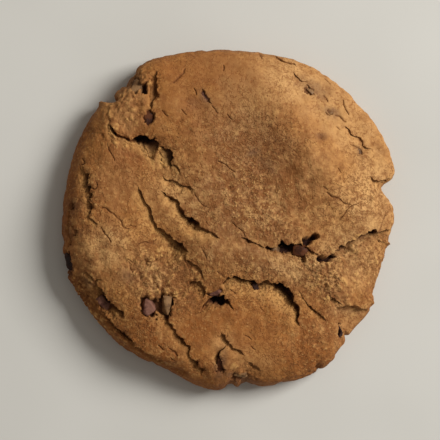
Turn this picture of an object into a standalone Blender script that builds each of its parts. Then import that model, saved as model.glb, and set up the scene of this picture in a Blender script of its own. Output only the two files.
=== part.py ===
"""Soft-baked chocolate chunk cookie with a cracked top.

One thick, soft cookie of golden brown dough, about 85 mm across and 14 mm thick, with
chocolate chunks sitting in its cracks and at its rim. The dough is one solid. Each chunk
is a solid of its own in an open pocket, with a small gap all round it.

Frame: origin at the middle of the flat base, +Z up, +Y towards the smooth far rim.
Lengths are in millimetres and become metres through MM. Bearings are in degrees,
counter-clockwise from +X.
"""

import math

import bmesh
import bpy
import numpy as np
from mathutils import Matrix, Vector
from mathutils.geometry import delaunay_2d_cdt

MM = 0.001

# Driving sizes of the dough
THICKNESS = 14.0        # base to the highest point of the top
WIDEST_HEIGHT = 4.2     # height at which the side stands out furthest
EDGE_ROUNDING = 11.0    # how far in from the outline the top starts to turn down
BASE_TUCK = 1.7         # how far the base lies inside the outline
DOME_DROP = 1.6         # fall of the top from the middle to the outline
BASE_TURN = math.radians(72)    # how far the lower side turns in before it meets the base

# Mesh fineness
GRID_STEP = 2.3         # spacing of the points over the skin
CRACK_STEP = 1.9        # spacing of the points along a crack
CLEARANCE = 1.0         # distance kept free of grid points beside a crack

# Skin map: the skin is laid out flat on a disc, from the middle of the top to the base
TOP_REACH = 32.1        # disc radius of the top
ROUND_REACH = 14.5      # disc length of the rounded edge
LOWER_REACH = 5.0       # disc length of the lower side
DISC = TOP_REACH + ROUND_REACH + LOWER_REACH

POCKET_GAP = 0.3        # free space between a chunk and its pocket

# Outline: (bearing, radius) through the broad form
OUTLINE = [
    (0, 42.4), (8, 42.3), (18, 44.6), (30, 45.0), (50, 44.7), (66, 44.4), (75, 43.5),
    (88, 43.2), (104, 43.8), (121, 44.9), (129, 42.9), (141, 43.2), (153, 42.7),
    (168, 42.0), (184, 42.3), (201, 43.4), (214, 42.4), (230, 42.3), (248, 41.4),
    (264, 43.6), (276, 42.9), (292, 44.2), (305, 44.5), (317, 42.3), (328, 42.6),
    (335, 40.8), (347, 40.8), (355, 41.4),
]

# Notches where a crack runs out over the rim, and bumps beside them:
# (bearing, reach before it, reach after it, depth)
NOTCHES = [
    (12.2, 6.0, 1.8, 3.1),
    (123.6, 1.6, 5.0, 0.9),
    (128.6, 1.6, 0.9, 0.7),
    (134.8, 1.3, 2.6, 2.5),
    (138.6, 1.1, 1.8, -1.0),
    (189.0, 2.0, 2.0, 0.4),
    (270.6, 3.6, 1.8, 1.5),
    (275.4, 2.2, 3.4, 1.3),
    (300.5, 1.0, 0.9, 0.8),
    (314.8, 1.2, 0.9, 1.2),
    (329.8, 1.2, 2.5, -0.5),
    (351.4, 1.4, 0.6, -0.9),
]

# Where the top turns down more sharply: (bearing, half width, rounding)
FOLDS = [
    (232, 24, 1.6),
    (130, 17, 5.0),
    (184, 22, 7.5),
]

# Swells and hollows of the top: (x, y, long reach, short reach, bearing, height)
RELIEF = [
    (20.0, 20.0, 16.0, 4.5, 128, 2.0),      # crest of the far right rim
    (35.0, 24.0, 20.0, 7.0, 122, -3.2),     # fall from that crest to the rim
    (9.0, 11.0, 9.0, 6.0, 135, -1.3),       # bowl inside the crest
    (6.0, -1.0, 10.0, 4.0, 160, 0.8),       # near lip of the bowl
    (-9.0, 30.2, 2.4, 2.0, 0, -0.8),        # dimple in the far plate
    (-18.5, 15.0, 10.0, 2.6, 128, -1.2),    # flank beside the long far fissure
    (-9.0, 19.0, 8.0, 6.0, 120, 0.6),       # far plate's near edge
    (-29.0, -6.0, 14.0, 5.0, 110, 1.0),     # left plate
    (-14.0, -8.0, 8.0, 3.0, 125, -1.3),     # slope down to the long left crack
    (-10.0, -17.0, 3.0, 3.0, 0, -0.5),      # hollow at its end
    (0.0, -9.0, 9.0, 3.5, 165, 0.8),        # ridge along the middle
    (24.0, -13.0, 9.0, 3.0, 135, 1.1),      # ridge right of the near arc
    (12.0, -12.0, 5.0, 2.5, 160, 0.7),      # lip above the near arc
    (34.0, -14.0, 9.0, 6.0, 70, -1.0),      # sunken plate at the right rim
    (4.0, -26.0, 12.0, 7.0, 170, 0.7),      # near plate
    (-31.0, -35.0, 18.0, 6.0, 140, -3.4),   # near left side falls away
    (-36.0, -21.0, 7.0, 4.0, 140, -1.0),    # crumbled ground behind the left rim
]

# Cracks: points of the centre line, width of the steep side, width of the gentle side, depth.
# Each runs so that its steep side is on the left hand.
CRACKS = {
    "far_gash": ([(-18.6, 39.0), (-19.0, 34.0), (-19.8, 29.7)], 0.6, 1.2, 2.4),
    "far_fissure": ([(-30.6, 25.2), (-29.4, 22.0), (-24.5, 20.4), (-20.4, 19.8), (-17.0, 18.0),
                     (-15.2, 14.6), (-13.0, 12.4)], 0.9, 1.8, 2.8),
    "far_plate_gash": ([(-7.0, 34.4), (-5.6, 31.7), (-4.0, 29.7)], 0.4, 0.7, 1.4),
    "middle_branch": ([(-17.0, 11.2), (-13.8, 9.9), (-8.8, 7.7)], 0.4, 0.8, 1.0),
    "left_crack": ([(-37.6, 13.6), (-37.0, 10.4), (-35.5, 7.0), (-35.6, 0.6), (-33.0, -2.2)],
                   0.5, 1.6, 1.6),
    "long_left": ([(-23.0, 8.0), (-20.2, 2.8), (-18.4, -1.8), (-14.3, -5.6), (-10.4, -8.3)],
                  0.6, 1.3, 1.9),
    "long_middle": ([(-17.2, 7.2), (-13.2, 4.8), (-11.0, 0.6), (-8.0, -1.6), (-2.8, -4.6)],
                    0.7, 1.4, 1.9),
    "right_cavity": ([(2.8, -4.7), (6.0, -6.2), (10.5, -7.5), (14.5, -7.2), (19.6, -6.8),
                      (22.6, -8.6), (27.0, -9.1)], 1.0, 1.4, 2.8),
    "right_pocket": ([(19.0, -4.8), (21.2, -3.6), (23.6, -3.9)], 0.6, 0.9, 1.8),
    "right_step": ([(28.0, -7.9), (32.3, -5.4), (36.0, -3.2), (41.0, -2.9)], 0.5, 1.6, 1.5),
    "rim_right": ([(30.8, 25.0), (33.4, 22.4), (35.2, 20.2), (37.8, 19.1)], 0.4, 0.8, 1.0),
    "left_cavity": ([(-36.5, -13.5), (-33.4, -17.0), (-31.2, -20.4), (-27.6, -23.2),
                     (-26.2, -25.6)], 0.9, 1.8, 2.8),
    "near_cavity": ([(-23.0, -22.0), (-18.2, -21.2), (-13.8, -19.6), (-9.8, -16.8),
                     (-5.8, -19.0), (-2.6, -20.4), (0.6, -22.2)], 1.0, 1.8, 2.8),
    "near_left": ([(-14.7, -20.0), (-15.8, -25.0), (-11.8, -31.2), (-9.8, -34.6),
                   (-7.0, -38.6)], 0.7, 1.7, 2.1),
    "near_arc": ([(-2.4, -15.4), (2.4, -15.0), (7.0, -16.6), (12.4, -16.6), (16.4, -19.0),
                  (18.3, -23.0), (18.0, -27.0)], 0.7, 1.9, 2.1),
    "near_arc_twin": ([(18.0, -18.0), (20.8, -22.1), (25.2, -25.6)], 0.4, 0.7, 1.1),
    "near_fork": ([(-1.8, -29.0), (-0.2, -31.4), (2.6, -33.4), (7.0, -37.2), (9.0, -39.6)],
                  0.5, 1.0, 1.6),
    "right_near_pocket": ([(27.0, -19.9), (30.2, -21.8), (32.6, -23.0)], 0.6, 1.6, 1.7),
}

# Chocolate chunks: place of the middle, length, width, thickness, bearing of the length,
# and how far the top of the chunk lies under the skin
CHUNKS = {
    "chunk_far_left_rim": (-23.7, 34.6, 4.2, 2.8, 3.2, 75, 0.3),
    "chunk_far_left": (-20.5, 26.3, 4.2, 2.8, 2.4, 95, 0.6),
    "chunk_far_plate": (-5.7, 32.2, 3.8, 2.4, 2.4, 125, 0.5),
    "chunk_far_rim": (22.0, 34.4, 3.6, 2.6, 2.4, 150, 0.4),
    "chunk_far_right": (27.5, 29.2, 3.0, 1.8, 2.0, 160, 0.4),
    "chunk_right_rim": (35.0, 18.9, 2.6, 2.2, 2.0, 110, 0.4),
    "chunk_cavity_left": (13.6, -7.6, 5.0, 3.0, 3.0, 5, 0.9),
    "chunk_cavity_right": (18.6, -7.6, 4.2, 3.6, 3.0, 5, 0.6),
    "chunk_near_left": (-20.1, -22.4, 4.8, 4.4, 3.0, 20, 0.2),
    "chunk_near_left_twin": (-15.9, -21.9, 4.8, 2.8, 3.0, 80, 0.3),
    "chunk_left_cavity": (-31.8, -21.3, 4.4, 2.2, 2.8, 130, 0.8),
    "chunk_left_rim": (-40.7, -12.2, 6.8, 3.0, 2.6, 102, 0.2),
    "chunk_near_cavity": (-3.2, -18.7, 4.2, 2.2, 2.4, 10, 0.5),
    "chunk_arc": (7.0, -17.1, 2.2, 1.8, 1.8, 120, 0.7),
    "chunk_near_rim": (-2.0, -37.6, 4.6, 2.8, 2.6, 75, 0.4),
    "chunk_near_rim_twin": (2.9, -40.4, 4.2, 2.0, 2.4, 10, 0.2),
    "chunk_right_near": (29.0, -29.4, 3.0, 1.8, 2.0, 100, 0.3),
}
CHUNK_CORNERS = 20      # points round a chunk before it is wrapped
CHUNK_BLUNTNESS = np.array([0.6, 0.6, 0.25])    # smaller is blunter; the broken top is flattest

# The cracks, the relief and the chunks are laid out a little larger than the top, and about
# a middle of their own
LAYOUT_SCALE = 0.97
LAYOUT_SHIFT = (-1.2, -1.4)

DOUGH_COLOUR = (0.33, 0.15, 0.055, 1.0)
CHOCOLATE_COLOUR = (0.055, 0.027, 0.016, 1.0)


def clear_scene():
    for thing in list(bpy.data.objects):
        bpy.data.objects.remove(thing, do_unlink=True)


def principled(name, colour, roughness):
    """A material with one Principled shader."""
    material = bpy.data.materials.new(name)
    material.use_nodes = True
    shader = material.node_tree.nodes["Principled BSDF"]
    shader.inputs["Base Color"].default_value = colour
    shader.inputs["Roughness"].default_value = roughness
    shader.inputs["Metallic"].default_value = 0.0
    return material


def smooth_step(value):
    value = np.clip(value, 0.0, 1.0)
    return value * value * (3.0 - 2.0 * value)


def turn_apart(bearing, other):
    """The signed difference between two bearings, from -180 to 180 degrees."""
    return (bearing - other + 180.0) % 360.0 - 180.0


def broad_radius(bearing):
    """Radius of the outline's broad form: a smooth closed curve through OUTLINE."""
    at = np.array([knot[0] for knot in OUTLINE], dtype=float)
    radius = np.array([knot[1] for knot in OUTLINE], dtype=float)
    following = np.append(at[1:], at[0] + 360.0)
    span = following - at
    slope = (np.roll(radius, -1) - np.roll(radius, 1)) / (span + np.roll(span, 1))
    bearing = np.asarray(bearing, dtype=float) % 360.0
    left = np.searchsorted(at, bearing, side="right") - 1
    right = (left + 1) % len(at)
    t = (bearing - at[left]) / span[left]
    return (radius[left] * (1 + 2 * t) * (1 - t) ** 2
            + radius[right] * t * t * (3 - 2 * t)
            + slope[left] * span[left] * t * (1 - t) ** 2
            - slope[right] * span[left] * t * t * (1 - t))


def notch_depth(bearing):
    """How far the notches cut in from the broad form."""
    depth = np.zeros_like(bearing)
    for at, before, after, deep in NOTCHES:
        apart = turn_apart(bearing, at)
        off = np.where(apart < 0.0, -apart / before, apart / after)
        depth = depth + deep * np.exp(-off ** 1.6 * 1.8)
    return depth


def outline_middle():
    """Middle of the outline's bounding box, which the whole cookie is moved by."""
    bearing = np.arange(0.0, 360.0, 0.25)
    radius = broad_radius(bearing) - notch_depth(bearing)
    x = radius * np.cos(np.radians(bearing))
    y = radius * np.sin(np.radians(bearing))
    return (x.min() + x.max()) / 2, (y.min() + y.max()) / 2


def edge_rounding(bearing):
    """How far in from the outline the top starts to turn down."""
    rounding = EDGE_ROUNDING
    for at, half_width, sharp in FOLDS:
        folded = np.exp(-(turn_apart(bearing, at) / half_width) ** 4)
        rounding = rounding + (sharp - EDGE_ROUNDING) * folded
    return rounding


def top_share(x, y):
    """1 on the top, falling to 0 at the outline."""
    bearing = np.degrees(np.arctan2(y, x))
    turned = (np.hypot(x, y) - broad_radius(bearing)) / edge_rounding(bearing) + 1.0
    return np.sqrt(1.0 - np.clip(turned, 0.0, 0.998) ** 2)


def laid_out(x, y):
    """Where a point of the layout comes to lie on the plan."""
    share = top_share(x, y)
    scale = 1.0 + (LAYOUT_SCALE - 1.0) * share
    return x * scale + LAYOUT_SHIFT[0] * share, y * scale + LAYOUT_SHIFT[1] * share


def in_layout(x, y):
    """Where a point of the plan lies in the layout."""
    share = top_share(x, y)
    scale = 1.0 + (LAYOUT_SCALE - 1.0) * share
    return (x - LAYOUT_SHIFT[0] * share) / scale, (y - LAYOUT_SHIFT[1] * share) / scale


def top_height(x, y):
    """Height of the top, before the edge turns down."""
    bearing = np.degrees(np.arctan2(y, x))
    reach = np.hypot(x, y) / broad_radius(bearing)
    height = -DOME_DROP * reach ** 2.4
    x, y = in_layout(x, y)
    for mid_x, mid_y, long_reach, short_reach, turn, rise in RELIEF:
        c = math.cos(math.radians(turn))
        s = math.sin(math.radians(turn))
        along = ((x - mid_x) * c + (y - mid_y) * s) / long_reach
        across = ((y - mid_y) * c - (x - mid_x) * s) / short_reach
        height = height + rise * np.exp(-0.5 * (along ** 2 + across ** 2))
    return height


def highest_top():
    x, y = np.meshgrid(np.arange(-40.0, 41.0), np.arange(-40.0, 41.0))
    inside = np.hypot(x, y) < TOP_REACH
    return top_height(x[inside], y[inside]).max()


def to_disc(x, y):
    """Where a point of the plan lies on the skin's disc."""
    x = np.asarray(x, dtype=float)
    y = np.asarray(y, dtype=float)
    bearing = np.degrees(np.arctan2(y, x))
    radius = np.hypot(x, y)
    rounding = edge_rounding(bearing)
    shoulder = broad_radius(bearing) - rounding
    turned = np.clip((radius - shoulder) / rounding, 0.0, 0.995)
    on_edge = TOP_REACH + ROUND_REACH * np.arcsin(turned) / (math.pi / 2)
    disc = np.where(radius < shoulder, radius * TOP_REACH / shoulder, on_edge)
    scale = disc / np.maximum(radius, 1e-6)
    return x * scale, y * scale


def skin(u, v, lift):
    """Places on the skin, and the way in, for points of the disc."""
    bearing = np.degrees(np.arctan2(v, u))
    disc = np.hypot(u, v)
    rounding = edge_rounding(bearing)
    shoulder = broad_radius(bearing) - rounding
    turn = np.clip((disc - TOP_REACH) / ROUND_REACH, 0.0, 1.0) * (math.pi / 2)
    low = np.clip((disc - TOP_REACH - ROUND_REACH) / LOWER_REACH, 0.0, 1.0) * BASE_TURN
    tuck = BASE_TUCK * (1 - np.cos(low)) / (1 - math.cos(BASE_TURN))
    radius = np.where(disc < TOP_REACH, disc * shoulder / TOP_REACH,
                      shoulder + rounding * np.sin(turn) - tuck)
    cut = smooth_step((disc - TOP_REACH - 3.0) / (ROUND_REACH - 5.0))
    radius = radius - notch_depth(bearing) * cut
    x = radius * np.cos(np.radians(bearing))
    y = radius * np.sin(np.radians(bearing))
    top = lift + top_height(x, y)
    z = WIDEST_HEIGHT + (top - WIDEST_HEIGHT) * np.cos(turn) ** 0.9
    z = z - WIDEST_HEIGHT * np.sin(low) / math.sin(BASE_TURN)
    places = np.stack([x, y, np.maximum(z, 0.0)], axis=-1)
    inward = np.stack([-np.cos(np.radians(bearing)) * np.sin(turn),
                       -np.sin(np.radians(bearing)) * np.sin(turn),
                       -np.cos(turn)], axis=-1)
    return places, inward


def smooth_line(points, step):
    """Points about a step apart on a smooth curve through the given points."""
    knots = [Vector(point) for point in points]
    knots = [2 * knots[0] - knots[1]] + knots + [2 * knots[-1] - knots[-2]]
    line = []
    for a, b, c, d in zip(knots, knots[1:], knots[2:], knots[3:]):
        count = max(2, round((c - b).length / step))
        for i in range(count):
            t = i / count
            line.append(0.5 * (2 * b + (c - a) * t + (2 * a - 5 * b + 4 * c - d) * t ** 2
                               + (3 * b - a - 3 * c + d) * t ** 3))
    line.append(knots[-2])
    return np.array([tuple(point) for point in line])


def beside(line, distances):
    """A line moved sideways, to the left where the distances are positive."""
    ahead = np.gradient(line, axis=0)
    ahead /= np.linalg.norm(ahead, axis=1, keepdims=True)
    left = np.stack([-ahead[:, 1], ahead[:, 0]], axis=1)
    return line + left * distances[:, None]


def taper(fraction):
    """How open a crack is along its length: full in the middle, closed at both ends."""
    return np.clip(np.sin(math.pi * np.clip(fraction, 0.0, 1.0)), 0.0, 1.0) ** 0.45


def from_line(points, line):
    """Signed distance of each point from a line, and how far along the line it is."""
    nearest = np.full(len(points), 1e9)
    side = np.ones(len(points))
    along = np.zeros(len(points))
    last = len(line) - 1
    for i in range(last):
        start = line[i]
        run = line[i + 1] - start
        gap = points - start
        t = np.clip(gap @ run / (run @ run), 0.0, 1.0)
        off = gap - t[:, None] * run
        distance = np.hypot(off[:, 0], off[:, 1])
        closer = distance < nearest
        nearest[closer] = distance[closer]
        turn = run[0] * gap[:, 1] - run[1] * gap[:, 0]
        side[closer] = np.where(turn[closer] >= 0, 1.0, -1.0)
        along[closer] = (i + t[closer]) / last
    return nearest * side, along


def crack_depth(points, lines):
    """How deep the cracks cut in at points of the disc."""
    depth = np.zeros(len(points))
    for name, (_, steep, gentle, deep) in CRACKS.items():
        distance, along = from_line(points, lines[name])
        opening = taper(along)
        reach = np.where(distance > 0, steep, gentle) * np.maximum(opening, 0.05)
        wall = np.clip(1.0 - np.abs(distance) / reach, 0.0, 1.0)
        depth = np.maximum(depth, deep * opening * smooth_step(wall) ** 0.8)
    return depth


def crack_lines():
    """The centre line of every crack, on the disc."""
    lines = {}
    for name, (points, _, _, _) in CRACKS.items():
        line = smooth_line(points, CRACK_STEP)
        lines[name] = np.stack(to_disc(*laid_out(line[:, 0], line[:, 1])), axis=1)
    return lines


def disc_points():
    """A triangular grid over the disc, with an even ring at its edge."""
    rows = int(DISC / GRID_STEP) + 2
    grid = []
    for row in range(-rows, rows + 1):
        shift = 0.5 * (row % 2)
        for column in range(-rows, rows + 1):
            grid.append(((column + shift) * GRID_STEP, row * GRID_STEP * math.sqrt(0.75)))
    grid = np.array(grid)
    grid = grid[np.hypot(grid[:, 0], grid[:, 1]) < DISC - 0.6 * GRID_STEP]
    count = round(2 * math.pi * DISC / GRID_STEP)
    turn = np.arange(count) * 2 * math.pi / count
    ring = DISC * np.stack([np.cos(turn), np.sin(turn)], axis=1)
    return grid, ring


def triangulated_disc(lines):
    """Triangles over the disc, with edges along the floor and lips of every crack."""
    grid, ring = disc_points()
    points = [tuple(point) for point in ring]
    edges = []
    rails = []
    for name, (_, steep, gentle, _) in CRACKS.items():
        line = lines[name]
        opening = np.maximum(taper(np.linspace(0.0, 1.0, len(line))), 0.25)
        for distances in (steep * opening, 0.0 * opening, -0.5 * gentle * opening,
                          -gentle * opening):
            rails.append(beside(line, distances))
    for rail in rails:
        rail = rail[np.hypot(rail[:, 0], rail[:, 1]) < DISC - GRID_STEP]
        first = len(points)
        points += [tuple(point) for point in rail]
        edges += [(first + i, first + i + 1) for i in range(len(rail) - 1)]
    free = np.ones(len(grid), dtype=bool)
    for rail in rails:
        distance, _ = from_line(grid, rail)
        free &= np.abs(distance) > CLEARANCE
    points += [tuple(point) for point in grid[free]]
    result = delaunay_2d_cdt([Vector(point) for point in points], edges, [], 0, 0.15)
    return np.array([tuple(point) for point in result[0]]), result[2]


def link(obj):
    bpy.context.scene.collection.objects.link(obj)
    return obj


def mesh_object(name, form, material):
    """An object of its own from a bmesh, closed and shaded smooth."""
    bmesh.ops.recalc_face_normals(form, faces=form.faces[:])
    mesh = bpy.data.meshes.new(name)
    form.to_mesh(mesh)
    form.free()
    mesh.shade_smooth()
    mesh.set_sharp_from_angle(angle=math.radians(45))
    if material:
        mesh.materials.append(material)
    return link(bpy.data.objects.new(name, mesh))


def make_dough(middle, lift):
    """The dough: domed and cracked top, rounded edge and flat base."""
    lines = crack_lines()
    points, triangles = triangulated_disc(lines)
    places, inward = skin(points[:, 0], points[:, 1], lift)
    depth = crack_depth(points, lines)
    fade = 1.0 - smooth_step((np.hypot(points[:, 0], points[:, 1]) - TOP_REACH - 8.0) / 5.0)
    places = places + inward * (depth * fade)[:, None]
    places[:, :2] -= middle
    on_rim = np.hypot(points[:, 0], points[:, 1]) > DISC - 0.01
    places[on_rim, 2] = 0.0
    form = bmesh.new()
    corners = [form.verts.new(Vector(place) * MM) for place in places]
    for triangle in triangles:
        form.faces.new([corners[i] for i in triangle])
    open_edges = [edge for edge in form.edges if len(edge.link_faces) == 1]
    base = bmesh.ops.contextual_create(form, geom=open_edges)
    bmesh.ops.triangulate(form, faces=base["faces"])
    return mesh_object("dough", form, principled("dough", DOUGH_COLOUR, 0.85))


def chunk_corners(length, width, thickness, seed):
    """Corner points of a broken piece of chocolate, about its own middle."""
    rng = np.random.default_rng(seed)
    way = rng.normal(size=(CHUNK_CORNERS, 3))
    way /= np.linalg.norm(way, axis=1, keepdims=True)
    blocky = np.sign(way) * np.abs(way) ** CHUNK_BLUNTNESS
    blocky /= np.abs(blocky).max(axis=0)
    return blocky * np.array([length, width, thickness]) / 2


def chunk_matrix(x, y, thickness, turn, sunk, middle, lift):
    """Places a chunk under the skin, with its thickness along the way in."""
    u, v = to_disc(*laid_out(x, y))
    places, inward = skin(np.atleast_1d(u), np.atleast_1d(v), lift)
    place = places[0] - np.array([middle[0], middle[1], 0.0])
    way_in = Vector(inward[0])
    centre = Vector(place) + way_in * (sunk + thickness / 2)
    tilt = Vector((0, 0, -1)).rotation_difference(way_in).to_matrix().to_4x4()
    spin = Matrix.Rotation(math.radians(turn), 4, "Z")
    return Matrix.Translation(centre * MM) @ tilt @ spin


def wrapped(points, matrix):
    """The convex body round a set of points, in millimetres before the matrix."""
    form = bmesh.new()
    for point in points:
        form.verts.new(matrix @ (Vector(point) * MM))
    hull = bmesh.ops.convex_hull(form, input=form.verts[:])
    inside = {item for item in hull["geom_interior"] if isinstance(item, bmesh.types.BMVert)}
    bmesh.ops.delete(form, geom=list(inside), context="VERTS")
    bmesh.ops.triangulate(form, faces=form.faces[:])
    return form


def grown(points, gap):
    """Points round each corner, a gap away from it."""
    around = [(1, 0, 0), (-1, 0, 0), (0, 1, 0), (0, -1, 0), (0, 0, 1), (0, 0, -1)]
    diagonal = [(a, b, c) for a in (-1, 1) for b in (-1, 1) for c in (-1, 1)]
    ways = [Vector(way).normalized() for way in around + diagonal]
    return [Vector(point) + way * gap * 1.15 for point in points for way in ways]


def make_chunk(name, order, dough, middle, lift):
    """A chunk, and the open pocket that it sits in."""
    x, y, length, width, thickness, turn, sunk = CHUNKS[name]
    matrix = chunk_matrix(x, y, thickness, turn, sunk, middle, lift)
    corners = chunk_corners(length, width, thickness, order + 1)
    material = principled(name, CHOCOLATE_COLOUR, 0.45)
    mesh_object(name, wrapped(corners, matrix), material)
    mouth = [(0.8 * corner[0], 0.8 * corner[1], thickness / 2 + sunk + 2.0)
             for corner in corners]
    pocket = wrapped(grown(corners, POCKET_GAP) + mouth, matrix)
    cutter = mesh_object("pocket_of_" + name, pocket, None)
    cutter.hide_render = True
    cutter.display_type = "WIRE"
    cut = dough.modifiers.new(cutter.name, "BOOLEAN")
    cut.operation = "DIFFERENCE"
    cut.solver = "EXACT"
    cut.object = cutter


def main():
    clear_scene()
    middle = outline_middle()
    lift = THICKNESS - highest_top()
    dough = make_dough(middle, lift)
    for order, name in enumerate(CHUNKS):
        make_chunk(name, order, dough, middle, lift)


main()
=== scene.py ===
"""Looks of a soft-baked chocolate chunk cookie.

The dough becomes one fine mesh: the domed body of the frame's dough node, with ragged
cracks whose steep side overhangs, crumbs, pits and a sandy grain. Each chunk becomes a
broken piece of chocolate in its own place. Lengths are in millimetres until the meshes
are made, and bearings in degrees, counter-clockwise from +X.
"""

import math

import bmesh
import bpy
import numpy as np
from mathutils import Matrix, Vector, noise
from mathutils.geometry import delaunay_2d_cdt

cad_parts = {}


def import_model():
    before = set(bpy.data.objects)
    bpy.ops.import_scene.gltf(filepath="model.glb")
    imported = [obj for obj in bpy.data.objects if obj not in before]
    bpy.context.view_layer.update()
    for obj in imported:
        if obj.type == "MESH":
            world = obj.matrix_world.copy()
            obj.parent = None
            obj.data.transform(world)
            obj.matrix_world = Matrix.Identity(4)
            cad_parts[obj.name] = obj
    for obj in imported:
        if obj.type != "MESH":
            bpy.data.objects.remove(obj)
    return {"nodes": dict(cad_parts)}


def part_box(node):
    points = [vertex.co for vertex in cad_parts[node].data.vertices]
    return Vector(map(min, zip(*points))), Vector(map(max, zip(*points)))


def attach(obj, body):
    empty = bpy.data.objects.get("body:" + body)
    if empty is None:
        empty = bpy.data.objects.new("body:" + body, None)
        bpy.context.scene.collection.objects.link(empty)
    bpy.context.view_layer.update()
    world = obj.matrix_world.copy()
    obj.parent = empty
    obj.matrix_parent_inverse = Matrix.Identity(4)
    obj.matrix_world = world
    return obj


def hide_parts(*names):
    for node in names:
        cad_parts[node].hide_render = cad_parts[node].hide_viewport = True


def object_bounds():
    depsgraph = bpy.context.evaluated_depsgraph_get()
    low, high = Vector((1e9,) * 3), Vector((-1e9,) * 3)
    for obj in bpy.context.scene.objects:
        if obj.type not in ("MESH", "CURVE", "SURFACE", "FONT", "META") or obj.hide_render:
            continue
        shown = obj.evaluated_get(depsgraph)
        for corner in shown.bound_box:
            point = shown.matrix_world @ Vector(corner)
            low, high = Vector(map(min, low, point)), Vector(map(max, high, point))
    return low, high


MM = 0.001

# The form of the dough
DOME_DROP = 1.6         # how much lower the top would lie at the outline than in the middle
EDGE_ROUNDING = 11.0    # how far in from the outline the top starts to turn down
WIDEST_HEIGHT = 4.2     # height of the widest place above the base
BASE_TUCK = 1.7         # how far the base lies in from the widest place
BASE_TURN = math.radians(72)        # how far the lower side turns towards the base
# The side's painted shade is lightest towards this bearing, near the lamp's
LEAST_SHADE_BEARING = math.radians(35)     # where the side is palest

# The skin is laid out on a flat disc: the top, the rounded edge and the lower side around it
TOP_REACH = 32.1
ROUND_REACH = 14.5
LOWER_REACH = 5.0
DISC = TOP_REACH + ROUND_REACH + LOWER_REACH

# Where things change along the disc's radius, as (start, length)
NOTCH_FADE = (TOP_REACH + 3.0, ROUND_REACH - 5.0)
SIDE_FADE = (TOP_REACH + 6.5, 7.0)
RIM_FADE = (TOP_REACH + 8.0, 5.0)
CRACK_FADE = (TOP_REACH + 9.5, 4.0)
BASE_FADE = (DISC - 3.0, 3.0)

# Outline: (bearing, radius) through the broad form
OUTLINE = [
    (0, 42.4), (8, 42.3), (18, 44.6), (30, 45), (50, 44.7), (66, 44.4), (75, 43.5), (88, 43.2),
    (104, 43.8), (121, 44.9), (129, 42.9), (141, 43.2), (153, 42.7), (168, 42), (184, 42.3), (201, 43.4),
    (214, 42.4), (230, 42.3), (248, 41.4), (264, 43.6), (276, 42.9), (292, 44.2), (305, 44.5), (317, 42.3),
    (328, 42.6), (335, 40.8), (347, 40.8), (355, 41.4),
]

# Notches and bumps of the rim: (bearing, reach before it, reach after it, depth)
NOTCHES = [
    (12.2, 6, 1.8, 3.1), (123.6, 1.6, 5, 0.9), (128.6, 1.6, 0.9, 0.7), (134.8, 1.3, 2.6, 2.5),
    (138.6, 1.1, 1.8, -1), (189, 2, 2, 0.4), (270.6, 3.6, 1.8, 1.5), (275.4, 2.2, 3.4, 1.3),
    (300.5, 1, 0.9, 0.8), (314.8, 1.2, 0.9, 1.2), (329.8, 1.2, 2.5, -0.5), (351.4, 1.4, 0.6, -0.9),
]

# Where the top turns down more sharply: (bearing, half width, rounding)
FOLDS = [
    (232, 24, 1.6), (130, 17, 5), (184, 22, 7.5),
]

# Swells and hollows of the top: (x, y, long reach, short reach, bearing, height)
RELIEF = [
    (20, 20, 16, 4.5, 128, 2), (35, 24, 20, 7, 122, -3.2), (9, 11, 9, 6, 135, -1.3),
    (6, -1, 10, 4, 160, 0.8), (-9, 30.2, 2.4, 2, 0, -0.8), (-18.5, 15, 10, 2.6, 128, -1.2),
    (-9, 19, 8, 6, 120, 0.6), (-29, -6, 14, 5, 110, 1), (-14, -8, 8, 3, 125, -1.3),
    (-10, -17, 3, 3, 0, -0.5), (0, -9, 9, 3.5, 165, 0.8), (24, -13, 9, 3, 135, 1.1),
    (12, -12, 5, 2.5, 160, 0.7), (34, -14, 9, 6, 70, -1), (4, -26, 12, 7, 170, 0.7),
    (-31, -35, 18, 6, 140, -3.4), (-36, -21, 7, 4, 140, -1),
]

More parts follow.
